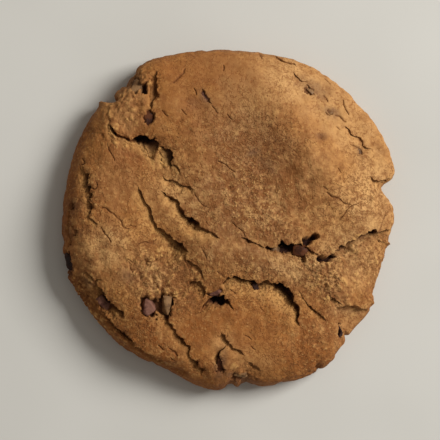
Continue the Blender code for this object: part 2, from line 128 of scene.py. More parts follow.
# Cracks between plates. Each has the depth of its gap, how far its gentle side drops and how
# wide that side is, how far its steep side is lifted, how pale its gentle side is, and the
# points of its middle line with the width of the gap there. The steep side is on the left
# hand.
CRACKS = [
    # far left
    (0.9, 0.9, 1.8, 0.3, 0.1, [(-18.6, 38.4, 0.3), (-18.9, 37.2, 0.8), (-19.2, 35.2, 1),
      (-19.4, 33.4, 1.2), (-19.5, 31.6, 1.2), (-19.8, 29.7, 0.8), (-19.6, 28.4, 0.3)]),
    (2.8, 0.4, 2.6, 0.3, 0.75, [(-30.9, 25.6, 0.5), (-30.3, 23.6, 1.3), (-29.3, 22, 1.3), (-27.2, 20.9, 1),
      (-25, 20.5, 1.1), (-23.4, 20.6, 1.4), (-21.6, 20.2, 2.3), (-19.9, 19.3, 2.6), (-18.6, 18.4, 1.8),
      (-18.1, 17.7, 0.5)]),
    (2.8, 0.4, 3, 0.3, 1, [(-17.8, 19, 0.5), (-17.1, 18, 1.5), (-16.3, 16.6, 2), (-15.6, 15.2, 1.9),
      (-15.1, 14.1, 1.3), (-14.9, 13.2, 0.4)]),
    (1.6, 0.3, 1.6, 0.2, 0.5, [(-14.1, 14.6, 0.3), (-13.5, 13.5, 0.9), (-12.8, 12.3, 0.9),
      (-12.4, 11.4, 0.3)]),
    (1.2, 0.5, 2, 0.3, 0.4, [(-16.9, 11.1, 0.2), (-15.4, 10.1, 0.6), (-13.4, 9.8, 0.5), (-11.5, 8.5, 0.7),
      (-10, 8, 0.8), (-8.7, 7.8, 0.2)]),
    # far plate
    (1.4, 0.3, 0.6, 0.2, 0, [(-6.9, 34.3, 0.3), (-6.2, 33, 0.7), (-5.6, 31.7, 0.8), (-4.9, 30.9, 0.9),
      (-4.2, 30, 0.3)]),
    # far right rim
    (0.8, 0.4, 1, 0.2, 0, [(11.2, 42.3, 0.2), (12.2, 41.6, 0.5), (13.8, 41, 0.5), (15.6, 40.5, 0.5),
      (16.9, 40.3, 0.4), (17.5, 39.8, 0.2)]),
    (0.8, 0.4, 1.2, 0.2, 0, [(16.9, 38.5, 0.2), (18.4, 37.1, 0.5), (19.5, 36.3, 0.3), (21.6, 36.4, 0.2)]),
    (1, 0.3, 0.8, 0.2, 0, [(20.3, 35.8, 0.3), (21, 35.2, 0.7), (21.6, 34.5, 0.5), (22.2, 33.6, 0.6),
      (22.9, 33.2, 0.3)]),
    (0.9, 0.4, 1.2, 0.2, 0, [(30.6, 25.2, 0.2), (31.8, 24.4, 0.5), (32.8, 23, 0.5), (34.4, 22, 0.6),
      (35.1, 21.2, 0.5), (35.5, 19.9, 0.5), (36.5, 19.5, 0.5), (37.8, 19.1, 0.2)]),
    (1.6, 0.9, 2, 0.4, 0.3, [(37.4, 12, 0.2), (38.4, 10.9, 0.5), (39.8, 10.6, 0.7), (41.2, 10.3, 0.9),
      (42.6, 9.8, 1)]),
    # left
    (1.15, 0.7, 2.4, 0.3, 0.35, [(-37.5, 13.4, 0.3), (-37.2, 11.9, 0.8), (-36.6, 10.2, 1.5),
      (-36.1, 8, 1.9), (-35.8, 6, 2), (-35.7, 4, 1.9), (-35.6, 2.2, 1.4), (-35.6, 0.8, 0.7),
      (-34.7, -0.7, 0.4), (-33.2, -1.6, 0.3)]),
    (1.3, 0.5, 1, 0.2, 0, [(-40.3, 4.6, 0.3), (-40, 3.2, 1.6), (-40.9, 1.5, 1), (-40.6, -0.8, 1),
      (-41, -3, 0.8), (-40.4, -5.5, 1.2), (-40.9, -7.4, 0.9), (-40.8, -8.8, 0.4)]),
    (1, 0.4, 0.8, 0.2, 0, [(-40.4, -1.4, 0.3), (-39.5, -2.8, 0.8), (-39, -4.2, 0.9), (-40.2, -4.6, 0.4)]),
    # the two long cracks of the middle
    (1.7, 1.5, 3.2, 0.65, 0.65, [(-23.1, 8.2, 0.3), (-22.3, 6.2, 0.4), (-21.3, 4.4, 0.45),
      (-20.2, 2.8, 0.5), (-19.6, 0.9, 0.5), (-18.9, -1, 0.6), (-17.6, -2.5, 0.7), (-16, -3.6, 0.9),
      (-14.6, -5.2, 1.1), (-13.2, -6.6, 1.4), (-11.7, -7.5, 1.1), (-10.2, -8.4, 0.3)]),
    (1.7, 1.4, 3, 0.65, 0.6, [(-17.2, 7.3, 0.2), (-16.2, 6.6, 0.6), (-14.6, 5.5, 0.7), (-13.1, 4.8, 0.7),
      (-12.5, 3, 0.8), (-11.6, 1.2, 0.9), (-10.1, 0.1, 1.4), (-8.9, -0.7, 1.5), (-7.6, -2, 1.1),
      (-6.2, -2.9, 0.6), (-4.4, -3.4, 0.4), (-3.2, -4.5, 0.35), (-2.5, -4.9, 0.2)]),
    # right of the middle
    (1.4, 0.5, 1.4, 0.4, 0, [(3, -4.8, 0.4), (4.3, -4.8, 0.9), (5.2, -5.6, 1), (6.2, -5.9, 0.6),
      (7.4, -6.3, 0.5), (9.3, -7.1, 0.5)]),
    (2.4, 1.3, 2.8, 0.8, 0.1, [(9, -7.2, 0.5), (11, -7.3, 1.2), (13, -7.3, 1.7), (15, -7.2, 2),
      (17.2, -7.6, 2.5), (19, -7.6, 2.6), (19.9, -7.9, 1.2), (20.4, -8.4, 0.3)]),
    (1.4, 0.5, 1.2, 0.4, 0.2, [(19.4, -5, 0.8), (20.1, -6.8, 1), (21.3, -7.8, 0.8), (22.6, -8.4, 0.6),
      (23.4, -8.8, 0.4)]),
    (1.9, 2.2, 5, 1.2, 0, [(27.6, -8.4, 1.1), (29.2, -7, 1.5), (30.4, -6.9, 1.3), (31.8, -5.4, 1.4),
      (33.2, -5.2, 1.1), (34.4, -3.8, 1.4), (36, -3.6, 1.3), (37.6, -2.8, 1.6), (39.4, -3, 1.4),
      (41.3, -2.6, 1.5)]),
    # near left
    (1.4, 0.5, 1.2, 0.3, 0, [(-36.7, -13.3, 0.3), (-35.6, -14.3, 0.9), (-34.6, -15.6, 0.8),
      (-33.2, -15.8, 0.6), (-31.9, -15.7, 0.3)]),
    (2.2, 1, 2.2, 0.8, 0.3, [(-34, -16.4, 0.4), (-33, -17.8, 1.2), (-32.2, -19.6, 1.5),
      (-31.4, -21.2, 1.4), (-30, -22.4, 1.3), (-28.4, -23.2, 1.1), (-27.2, -24.2, 0.8),
      (-26.4, -25.4, 0.3)]),
    (1.7, 0.8, 2.4, 0.4, 0.3, [(-14.2, -19.8, 0.6), (-14.8, -21.4, 1.2), (-15.5, -23.5, 1.3),
      (-15.9, -25.2, 1.1), (-14.8, -27.3, 0.8), (-13.6, -29, 0.8), (-12.2, -30.8, 0.9), (-10.9, -32, 0.8),
      (-9.8, -33.4, 0.6), (-9.9, -35, 0.5), (-8.8, -36.3, 0.9), (-7.6, -37.5, 1), (-6.6, -38.7, 0.8),
      (-7, -39.9, 0.3)]),
    (1.2, 0.5, 1.2, 0.3, 0.3, [(-14.6, -19.6, 0.3), (-12.6, -19.3, 0.6), (-11.2, -18.4, 0.7),
      (-10.4, -17, 0.8), (-9, -16.3, 1.1), (-7.7, -16.2, 1), (-6.9, -17.3, 0.9), (-6.3, -18.6, 1.1),
      (-6.3, -19.9, 1)]),
    (3, 0.5, 1, 0.4, 0.1, [(-6.8, -23.2, 0.4), (-6.2, -21.9, 0.9), (-5, -21.2, 1.6), (-3.4, -20.9, 2.3),
      (-1.9, -20.8, 2.2), (-0.7, -21, 1.4), (0.4, -21.9, 0.8), (1.4, -23.2, 0.3)]),
    (1.5, 0.4, 1, 0.2, 0.2, [(-8.6, -24.5, 0.3), (-7.4, -24, 0.6), (-6.2, -23.2, 0.9), (-5.2, -22.3, 1.2),
      (-4.6, -21.5, 0.9)]),
    (1.2, 0.5, 1.4, 0.3, 0.1, [(-11.2, -10.2, 0.2), (-10, -10.8, 0.5), (-8.6, -12, 0.6),
      (-7.3, -13.6, 0.6), (-6.3, -15.2, 0.3)]),
    # near arc and the near plate
    (1.8, 1.7, 4.2, 0.7, 0.65, [(-2, -16.9, 0.3), (-0.8, -16.1, 0.6), (0.6, -15.1, 1), (2.2, -14.9, 1),
      (3.6, -15.6, 1.1), (5.2, -15.6, 1.4), (6.6, -16.1, 1.4), (8.2, -16.6, 1.1), (9.6, -16, 1.1),
      (11, -16.6, 1.3), (12.6, -17.1, 1.5), (14.2, -17.9, 1.8), (15.6, -19.2, 1.9), (16.8, -20.9, 1.5),
      (17.6, -22.4, 1), (18.1, -24, 0.7), (17.8, -25.6, 0.6), (18.5, -27.2, 0.3)]),
    (1, 0.5, 1.4, 0.3, 0.2, [(17.9, -17.9, 0.2), (19.2, -19.6, 0.3), (20.3, -21.4, 0.5),
      (21.6, -22.6, 0.6), (23.1, -23.8, 0.6), (24.3, -24.6, 0.5), (25.4, -25.8, 0.2)]),
    (1.5, 0.8, 1.8, 0.4, 0.2, [(-1.9, -28.9, 0.3), (-1.2, -29.9, 0.9), (-0.4, -31.1, 0.9),
      (0.3, -31.9, 0.7), (1.4, -33.1, 0.6), (3, -33.6, 0.5), (4.1, -34.7, 0.2)]),
    (1.7, 0.8, 1.6, 0.4, 0, [(-0.3, -31.7, 0.3), (-1, -32.9, 0.5), (-2.2, -33.8, 0.7), (-2.5, -35, 1),
      (-1.9, -36.6, 1.2), (-1.3, -38.2, 0.8), (-1, -39.6, 0.5)]),
    (1.1, 0.5, 1.2, 0.3, 0, [(5.1, -36.3, 0.2), (6.3, -37, 0.6), (7.4, -37.7, 0.7), (8.3, -38.8, 0.3)]),
    (1.3, 0.5, 2, 0.5, 0.1, [(26.4, -19.4, 0.3), (27.4, -20.2, 0.8), (28.5, -20.9, 0.8),
      (29.6, -21.6, 0.4)]),
    (1, 0.3, 1, 0.2, 0, [(29.2, -30.2, 0.4), (28.7, -28.4, 0.7), (28.4, -26.4, 0.5), (28.3, -24, 0.4),
      (28.3, -22.8, 0.2)]),
    # fold of the crust over the near left side
    (1.1, 1.9, 5, 0.75, 0, [(-31.8, -24, 0.3), (-29.2, -26.9, 1), (-25.8, -30.4, 1.3), (-22.2, -33.3, 1.4),
      (-18, -35.7, 1.4), (-13.8, -37.7, 1), (-10.2, -39, 0.3)]),
    (0.9, 0.8, 2, 0.2, 0, [(-32.6, -27, 0.3), (-30, -29.6, 0.9), (-27.4, -32, 0.9), (-25, -33.8, 0.3)]),
]

# Hairlines in the crust: the width and the points of the line
HAIRLINES = [
    (0.25, [(-8.7, 6.7), (-7.9, 5.2), (-7, 3.9), (-5.1, 3)]),
    (0.3, [(-31, 19.5), (-30.6, 17.6), (-29.4, 15.6), (-29.2, 14.9)]),
    (0.25, [(-4.2, 29.7), (-3.3, 28.4), (-2.8, 27.8)]), (0.4, [(-8.7, 34), (-8.3, 33.2), (-8.2, 32.5)]),
    (0.35, [(-12, 28.5), (-11.3, 27.7), (-10.9, 27.2)]), (0.35, [(-17, 28), (-16.4, 27.3), (-15.7, 26.7)]),
    (0.35, [(-11.3, 38.9), (-11.9, 37.9), (-12.7, 36.9), (-14.3, 35.4)]),
    (0.35, [(-1.3, 39.9), (-1.2, 39.2), (-1.3, 38.7)]), (0.25, [(-0.2, 27.4), (0.4, 26.7), (1, 26.1)]),
    (0.3, [(-2.6, 15.2), (-0.8, 14.5), (0.6, 13.2), (1.8, 12.5)]),
    (0.3, [(7.2, 42.9), (7.9, 42.2), (8.4, 41.5)]), (0.3, [(24.7, 36.6), (25.6, 36), (26.4, 35.3)]),
    (0.45, [(25.8, 28.8), (26.4, 28.2), (27, 28)]),
    (0.35, [(28.4, 28), (29.6, 27.6), (30.5, 26.7), (31.2, 26.2)]),
    (0.4, [(32.5, 20.5), (34.2, 19.7), (35, 19.1), (35.4, 17.8)]),
    (0.4, [(30, 31.5), (30.5, 29.9), (31.1, 28.9), (31.7, 28)]),
    (0.25, [(25.1, 32.8), (25.7, 32.2), (26.3, 31.4)]), (0.25, [(28.8, 25.1), (29.3, 24.8), (29.7, 24.4)]),
    (0.4, [(-37.4, 15), (-36.8, 13.9), (-38, 13.2), (-37.7, 12), (-37.9, 11.2)]),
    (0.4, [(-35.1, 8), (-34.2, 7.6), (-33.7, 8.4), (-33.8, 9.3)]),
    (0.3, [(-32.7, -2.3), (-31.8, -3.8), (-30.9, -4.9), (-30.1, -6)]),
    (0.35, [(-40, -1.7), (-39.4, -2.8), (-39, -3.8)]),
    (0.35, [(-32.3, 2.7), (-31.2, 2.5), (-30, 1.4), (-28.6, 0.4), (-27.6, -0.6), (-27.1, -2.2),
      (-25.4, -2.6)]),
    (0.25, [(-25.1, -1.6), (-24.4, -1.9), (-23.7, -2)]),
    (0.3, [(-22.9, -6.4), (-21.2, -5.9), (-19.6, -6), (-18.2, -5)]),
    (0.3, [(-6.7, -7.9), (-6.1, -8.9), (-5.7, -9.9)]), (0.3, [(1.1, -0.9), (1.6, -1.4), (2, -1.9)]),
    (0.35, [(2.6, -2.2), (3.3, -2.8), (4.2, -4)]),
    (0.4, [(40.7, 1.6), (40.2, 0.7), (39.7, -1), (39, -2.5)]),
    (0.35, [(25.5, 7.4), (27, 6.3), (28.8, 5.8), (30, 4.9), (31.7, 4.4)]),
    (0.35, [(35.1, 5.4), (32.4, 4.2), (31.2, 3.2), (30.2, 1.8), (28.9, 0.5)]),
    (0.25, [(24.7, 8.8), (25.3, 8.4), (25.8, 8)]), (0.25, [(36, 5.8), (36.7, 5.7), (37.3, 5.7)]),
    (0.25, [(28.8, 13.9), (29.2, 13.4), (29.6, 12.8)]),
    (0.5, [(-31.2, -23.5), (-30.7, -23), (-30.2, -22.5)]),
    (0.55, [(-22.4, -23.6), (-21.6, -24.1), (-20.3, -24.3), (-19, -24.2)]),
    (0.35, [(-17.7, -32.2), (-17.2, -32.7), (-16.6, -33.3)]),
    (0.4, [(-15, -32.9), (-13.9, -33.8), (-12.9, -34.9)]),
    (0.35, [(-14.6, -35.3), (-14, -35.8), (-13.4, -36.2)]),
    (0.35, [(-11.1, -10.5), (-10.7, -11.3), (-10.2, -12.2)]),
    (0.3, [(-13.9, -11.2), (-13.4, -11.6), (-12.8, -12.2)]),
    (0.4, [(-24.9, -11.8), (-24.9, -12.9), (-24.4, -13.7)]),
    (0.3, [(-25.7, -10.4), (-25.2, -10.7), (-24.6, -11.1)]),
    (0.35, [(-20.9, -10.9), (-19.7, -10.9), (-18.2, -10.2), (-16.7, -9.7)]),
    (0.35, [(-15.8, -9.2), (-15.3, -9.6), (-14.8, -10)]),
    (0.4, [(-2.9, -13.3), (-2, -14.3), (-1.1, -14.9)]), (0.25, [(4.4, -29.6), (5.2, -30.1), (5.9, -30.6)]),
    (0.25, [(5.9, -32.4), (6.5, -32.9), (7, -33.3)]), (0.3, [(8.2, -22.5), (8.7, -23), (9.2, -23.5)]),
    (0.3, [(0.4, -17.9), (1.1, -18.4), (1.8, -18.9)]),
    (0.25, [(26.2, -19.3), (26.5, -19.7), (26.5, -20.2)]),
    (0.3, [(27.8, -14.4), (28.1, -15.1), (28.4, -15.9)]),
]

# Pits: (x, y, radius)
PITS = [
    (-9.8, 22.9, 0.5), (-12.3, 25.7, 0.5), (-3.5, 19.7, 0.4), (-2.4, 19.5, 0.4), (-14.2, 20.1, 0.4),
    (-2, 17.5, 0.4), (2.9, 17.7, 0.4), (-6, 21, 0.4), (0.6, 8.7, 0.8), (24.5, 22.2, 0.9), (20.4, 10, 0.5),
    (23, 12.8, 0.4), (21.4, -13.1, 0.4), (-26.6, -14.5, 0.5), (-26.1, -15.7, 0.4), (-25.2, -15.8, 0.4),
    (-28.4, -15.5, 0.4), (4.8, -38.8, 0.4), (5.4, -38.8, 0.3), (3.5, -39.7, 0.4), (4.8, -40.8, 0.4),
    (6.5, -40.2, 0.4), (7, -40.8, 0.4), (-20.9, -20.5, 0.5), (-21.7, -21.4, 0.5), (-39.9, 3.5, 0.9),
]

# Stains where chocolate shows through the dough: (x, y, long, short, bearing, strength)
STAINS = [
    (6.6, 17.6, 1.1, 0.7, 20, 0.6), (10.8, 14, 1.6, 0.7, 140, 0.3), (-9, 30.3, 1.2, 1, 0, 0.25),
    (-6, 31.8, 1.4, 0.7, 125, 0.6), (23, 34.8, 3, 1.3, 155, 0.5), (27.6, 29.1, 1.7, 0.9, 160, 0.55),
    (35, 18.9, 1, 0.6, 110, 0.4), (-26, -14.6, 1.5, 1.1, 130, 0.5), (-1.8, -37.2, 2.6, 1.1, 80, 0.7),
    (3, -40.4, 3.2, 0.8, 165, 0.6), (-35.8, -16.4, 1.3, 0.8, 130, 0.5), (-39.8, 3.2, 1.1, 1.7, 90, 0.3),
    (-40.6, -3.6, 0.8, 3.4, 90, 0.25), (14.5, -12.3, 1.3, 0.8, 0, 0.2), (24.4, 22.2, 0.9, 0.7, 0, 0.5),
    (-24.4, 35.2, 1.4, 1, 60, 0.6),
]

# Windows in the dough over the chocolate: (x, y, long, short, bearing, depth)
OPENINGS = [
    (-23.9, 34.7, 1.9, 1.2, 68, 1.4), (-21.7, 34, 1.5, 1.2, 100, 2.4), (-20.5, 26.3, 1.9, 1.5, 92, 1.2),
    (-5.7, 32.2, 1.6, 0.6, 125, 1.1), (22, 34.4, 1.6, 1, 150, 0.9), (27.3, 29.1, 1.2, 0.6, 165, 0.8),
    (35, 19, 0.8, 0.5, 120, 0.7), (14.2, -7.5, 2.6, 0.9, 178, 1.6), (18.5, -7.7, 1.9, 1.3, 175, 1.3),
    (21.9, -4.4, 2.1, 0.8, 26, 3), (20.4, -5.3, 1.5, 1, 60, 2.4), (19.8, -6.3, 1.4, 0.8, 96, 1.7),
    (24.4, -9.6, 2, 0.95, 2, 2.8), (26.7, -9.2, 1.6, 0.85, 24, 2.4), (-19.8, -22.3, 3, 2.6, 12, 1.6),
    (-16.3, -22.2, 3.1, 2.3, 80, 1.6), (-31.9, -21.3, 2.3, 1, 128, 1.2), (-40.9, -12, 3.5, 1.3, 100, 1),
    (-3.2, -18.7, 2, 0.8, 10, 1.3), (-2.4, -20.9, 2.6, 1, 172, 2.6), (7, -17, 0.9, 0.65, 120, 1.1),
    (-2, -37.4, 2, 0.9, 78, 1.3), (2.9, -40.4, 1.9, 0.8, 165, 0.6), (29.2, -29.5, 1, 0.6, 100, 0.9),
]

# Ground broken up into crumbs: (x, y, long, short, bearing, height)
CRUMBLED = [
    (-17.6, -14.4, 5, 3.8, 150, 0.6), (-34, -21, 6, 2.2, 130, 0.42), (-26, 28, 4.6, 3.2, 70, 0.26),
    (-9, -20.2, 4.4, 2, 20, 0.34), (34, -14, 7, 4.5, 75, 0.18), (3, -38.6, 4, 2, 160, 0.22),
    (-22.4, 36, 2.4, 2, 0, 0.24), (-28, 19, 5, 1.4, 150, 0.22), (25, 31, 7, 2.6, 135, 0.08),
    (25, -14.5, 7, 2.6, 132, 0.42), (25.4, -11.2, 3, 1, 8, 0.34), (-11, -15, 3, 1.4, 150, 0.26),
    (12, -14.4, 8, 1, 170, 0.12),
]

# Ledge of the near right rim, where a flake of the top is gone: its corners and its drop
LEDGE = [(28.5, -22.4), (28.9, -32.0), (33.5, -32.0), (38.0, -23.5), (31.6, -22.0)]
LEDGE_DROP = 1.7

# Darker, redder crust, partly browning and partly painted shade: (x, y, long, short, bearing, strength)
BROWNED_AND_SHADED_SPOTS = [
    (-2, -26.5, 12, 5, 172, 0.7), (-35, -3, 5, 11, 0, 0.55), (-30, 19, 4, 5, 0, 0.35),
    (-24, -32, 7, 1.6, 140, 0.9), (-16, -31, 9, 5, 140, 0.95), (-31, 4, 4, 8, 0, 0.35),
    (-6, 38, 12, 4, 0, 0.5), (3, 35, 4, 4, 0, 0.55), (-24.5, 19, 5, 5, 130, 0.95),
    (28, -26.5, 2.4, 3, 0, 0.4), (-7.5, -28.5, 4, 4, 0, 0.85), (14, 15, 9, 6, 130, 0.8),
    (-40, 0, 3, 16, 0, 0.9), (22, -31, 9, 6, 40, 0.8), (-22, -33, 12, 3, 145, 0.75),
    (-27, 23.5, 3, 1.6, 150, 0.7), (-25.8, 31.2, 1.6, 1.6, 0, 0.8), (34, -15, 8, 4, 75, 0.35),
    (0, -40, 9, 3, 0, 0.5), (-8, 24, 7, 5, 120, 0.35), (0, 11, 9, 5, 125, 0.65), (-1, 0.5, 5, 4, 150, 0.6),
    (9, 8, 4, 3, 130, 0.6), (-15.5, -9, 4, 2.4, 130, 0.35), (-17, 34, 6, 5, 40, 0.3),
    (-9, 30.2, 1.9, 1.7, 0, 0.9), (-21, 26, 1.8, 1.4, 90, 0.8),
]

# Paler, greyer crust, partly its own tone and partly painted light where it faces the lamp:
# (x, y, long, short, bearing, strength)
PALED_AND_LIT_SPOTS = [
    (-27, -11, 8, 4, 160, 0.45), (34.5, -10, 5, 4, 60, 0.75), (5, -36, 4.5, 2.5, 0, 0.35),
    (-27, 29, 4, 4, 0, 0.45), (36.5, 2, 4, 6, 0, 1), (-1, -31.6, 2.4, 2, 0, 0.4), (8, 32, 5, 4, 0, 0.4),
    (-19.6, -15.4, 4.6, 3.2, 150, 1), (17.5, 36.5, 7, 4, 150, 0.85), (32, 5, 5, 4, 60, 0.6),
    (32, -5.6, 8, 3, 28, 1), (-31, -8, 4.5, 4, 0, 0.85), (19, -12, 5, 2.6, 0, 1),
    (26, -12.5, 4, 3, 0, 0.65), (25.2, -11.2, 3.2, 1, 8, 0.9), (30, 28, 17, 5, 125, 0.65),
    (-12, 6, 5, 2.5, 150, 0.45), (31.5, -26, 3, 4, 0, 0.5), (27.4, 29.4, 2.6, 1.8, 150, 0.8),
    (38, 8, 9, 5, 95, 0.85), (26, 10, 10, 4, 120, 0.35), (33, -2, 7, 3, 20, 0.6),
    (-24.5, 28, 5, 1.6, 70, 0.4), (25, -15, 7, 2.2, 128, 0.65), (-19, 16.5, 4, 1.2, 128, 0.3),
]

# Duller, greyer crust: (x, y, long, short, bearing, strength)
GREYED = [
    (4, 4, 13, 9, 150, 0.9), (4, 19, 11, 8, 125, 0.9), (6, -9.5, 13, 3, 170, 0.95),
    (-28, 10, 5, 5, 0, 0.45), (31.5, -23.4, 3.5, 1, 176, 0.9), (-16, 4, 8, 3.5, 125, 0.4),
    (8, 32, 12, 6, 150, 0.45), (19, -12.5, 4.6, 2.6, 0, 1), (-10, -12, 6, 3, 150, 0.4),
]

# Smoother ground: (x, y, long, short, bearing, strength)
SMOOTHED = [
    (-2, 36, 15, 6, 0, 0.5), (26, 30, 10, 5, 135, 0.7), (30.5, -26, 3, 4, 0, 0.4), (8, -35, 9, 5, 0, 0.6),
    (-38, -2, 3, 9, 0, 0.4),
]

# Rougher ground, with deeper grain: (x, y, long, short, bearing, strength)
ROUGHENED = [
    (8, 4, 10, 7, 150, 1), (31, -6, 14, 7, 70, 0.25), (-18, -15, 8, 6, 150, 0.5),
    (0, -12, 16, 4, 170, 0.6), (22, -31, 8, 6, 40, 0.6), (-37, -4, 3, 14, 0, 0.7), (-4, 8, 9, 8, 0, 0.6),
    (8, 20, 8, 6, 130, 0.35), (-20, -32, 12, 4, 145, 0.5), (24, -14, 8, 4, 135, 0.8),
]

# The crack layout is drawn a little larger than the top and about its own middle
LAYOUT_SCALE = 0.97
LAYOUT_SHIFT = (-1.2, -1.4)

# Spacing of the mesh
GRID_STEP = 0.37
LOWER_STEP = 0.60
BASE_STEP = 1.6
CRACK_STEP = 0.30
FINER = 0.62            # spacing of the finer grid, as a share of the grid's
NEAR_CRACK = 0.7        # within this distance of a gap the grid is finer
RAIL_CELL = 0.12        # the finer grid keeps out of cells of this size with a rail in them
SCATTER = 0.16          # how far grid points are moved about, as a share of the spacing
SKIN_MERGE = 1e-3       # points closer than this become one
BASE_MERGE = 1e-5
WHOLE_HULL, INSIDE_EDGES = 0, 1     # what delaunay_2d_cdt is to fill with triangles

# Form of the cracks and of the pieces in them
END_STEPS = 3.0         # a crack opens over this many steps from its end
LINE_APART = 3.1        # how far apart the noises of two cracks lie
WALL = 0.5              # share of the gap's cross-section taken by its steep wall
UNDERCUT = 0.25         # how far the gap's floor runs under the lip, as a share of the gap
LIFT_FADE = 3.0         # how far back from the lip its lift reaches
LIP_FADE = 0.7          # the same for its ragged edge
SKIN_DROP = 0.35        # the fine skin lies this much lower than the dough's solid
PROUD_SINK = 0.12       # how far the two chunks sink whose faces lie level with the crust
PROUD = ("chunk_near_left", "chunk_near_left_twin")

# Noises, as (strength, size of the features, seed)
WIDTH_NOISE = ((0.6, 1.1, 5), (0.5, 2.6, 6))
DEPTH_NOISE = ((0.9, 1.9, 7),)
WANDER_NOISE = ((0.8, 1.7, 1), (0.55, 0.7, 2))
LOBE_NOISE = ((0.9, 1.0, 3), (0.6, 0.55, 4))
WOBBLE_NOISE = ((0.45, 1.4, 21), (0.3, 0.6, 22))
PATCH_NOISE = ((0.5, 4.0, 23),)
WINDOW_NOISE = ((0.22, 1.6, 17), (0.20, 0.7, 18))
WINDOW_WARP = (((0.55, 1.5, 27),), ((0.55, 1.5, 28),))      # along x and along y

# Grain and lumps, as (size of the features, seed)
FINE_GRAIN = (0.7, 11)
COARSE_GRAIN = (1.3, 12)
WAVES = (3.2, 13)
LARGE_LUMPS = (2.0, 14)
SMALL_LUMPS = (0.9, 15)
CREASES = (6.0, 16)
RIM_GRAIN = (2.4, 19)
WINDOW_CORNERS = (1.3, 20)
BASE_HOLLOWS = (2.0, 31)


def smooth_step(value):
    value = np.clip(value, 0.0, 1.0)
    return value * value * (3.0 - 2.0 * value)


def faded(value, start, length):
    return smooth_step((value - start) / length)


def noise_at(points, size, seed):
    """Smooth noise from -1 to 1 at rows of x, y, z, with features of the given size."""
    shift = Vector((17.3 * seed, -9.1 * seed, 5.7 * seed))
    return np.array([noise.noise(Vector(point) / size + shift) for point in points])


def noise_sum(points, rows, start=0.0):
    """A starting value with some noises added to it."""
    total = start
    for strength, size, seed in rows:
        total = total + strength * noise_at(points, size, seed)
    return total


def lumps_at(points, size, seed):
    """Rounded lumps of about the given size: 0 between them and 1 on their tops."""
    shift = Vector((7.9 * seed, 3.3 * seed, -5.1 * seed))
    nearest = [noise.voronoi(Vector(point) / size + shift)[0][:2] for point in points]
    nearest = np.array(nearest).reshape(-1, 2)
    return smooth_step((nearest[:, 1] - nearest[:, 0]) / 0.5)


def polar(x, y):
    return np.degrees(np.arctan2(y, x)), np.hypot(x, y)


def plan(bearing, radius):
    return radius * np.cos(np.radians(bearing)), radius * np.sin(np.radians(bearing))


def turn_apart(bearing, other):
    return (bearing - other + 180.0) % 360.0 - 180.0


def broad_radius(bearing):
    """Radius of the outline's broad form: a smooth closed curve through OUTLINE."""
    at, radius = np.array(OUTLINE, dtype=float).T
    span = np.append(at[1:], at[0] + 360.0) - at
    slope = (np.roll(radius, -1) - np.roll(radius, 1)) / (span + np.roll(span, 1))
    bearing = np.asarray(bearing, dtype=float) % 360.0
    left = np.searchsorted(at, bearing, side="right") - 1
    right = (left + 1) % len(at)
    t = (bearing - at[left]) / span[left]
    return (radius[left] * (1 + 2 * t) * (1 - t) ** 2
            + radius[right] * t * t * (3 - 2 * t)
            + slope[left] * span[left] * t * (1 - t) ** 2
            - slope[right] * span[left] * t * t * (1 - t))


def notch_depth(bearing):
    depth = np.zeros_like(bearing)
    for at, before, after, deep in NOTCHES:
        apart = turn_apart(bearing, at)
        off = np.where(apart < 0.0, -apart / before, apart / after)
        depth = depth + deep * np.exp(-off ** 1.6 * 1.8)
    return depth


def outline_middle():
    """Middle of the outline's bounding box, which the whole cookie is moved by."""
    bearing = np.arange(0.0, 360.0, 0.25)
    x, y = plan(bearing, broad_radius(bearing) - notch_depth(bearing))
    return np.array([(x.min() + x.max()) / 2, (y.min() + y.max()) / 2])


def edge_rounding(bearing):
    """How far in from the outline the top starts to turn down."""
    rounding = EDGE_ROUNDING
    for at, half_width, sharp in FOLDS:
        folded = np.exp(-(turn_apart(bearing, at) / half_width) ** 4)
        rounding = rounding + (sharp - EDGE_ROUNDING) * folded
    return rounding


def layout_change(x, y):
    """Scale and shift of the crack layout, which fade out from the top to the outline."""
    bearing, radius = polar(x, y)
    turned = (radius - broad_radius(bearing)) / edge_rounding(bearing) + 1.0
    share = np.sqrt(1.0 - np.clip(turned, 0.0, 0.998) ** 2)
    scale = 1.0 + (LAYOUT_SCALE - 1.0) * share
    return scale, LAYOUT_SHIFT[0] * share, LAYOUT_SHIFT[1] * share


def laid_out(x, y):
    """Where a point of the crack layout comes to lie on the plan."""
    scale, shift_x, shift_y = layout_change(x, y)
    return x * scale + shift_x, y * scale + shift_y


def in_layout(x, y):
    """Where a point of the plan lies in the crack layout."""
    scale, shift_x, shift_y = layout_change(x, y)
    return (x - shift_x) / scale, (y - shift_y) / scale


def over_oval(x, y, spot):
    """Place along the two axes of an oval spot, with 1 at its rim."""
    mid_x, mid_y, long_reach, short_reach, turn = spot
    c = math.cos(math.radians(turn))
    s = math.sin(math.radians(turn))
    along = ((x - mid_x) * c + (y - mid_y) * s) / long_reach
    across = ((y - mid_y) * c - (x - mid_x) * s) / short_reach
    return along, across


def swell(x, y, spot):
    """A smooth hill of height 1 over an oval spot."""
    along, across = over_oval(x, y, spot)
    return np.exp(-0.5 * (along ** 2 + across ** 2))


def top_height(x, y):
    """Height of the top, before the edge turns down."""
    bearing, radius = polar(x, y)
    height = -DOME_DROP * (radius / broad_radius(bearing)) ** 2.4
    x, y = in_layout(x, y)
    for *spot, rise in RELIEF:
        height = height + rise * swell(x, y, spot)
    return height


def to_disc(x, y):
    """Where a point of the plan lies on the skin's disc."""
    bearing, radius = polar(x, y)
    rounding = edge_rounding(bearing)
    shoulder = broad_radius(bearing) - rounding
    turned = np.clip((radius - shoulder) / rounding, 0.0, 0.995)
    on_edge = TOP_REACH + ROUND_REACH * np.arcsin(turned) / (math.pi / 2)
    disc = np.where(radius < shoulder, radius * TOP_REACH / shoulder, on_edge)
    scale = disc / np.maximum(radius, 1e-6)
    return np.stack([x * scale, y * scale], axis=-1)


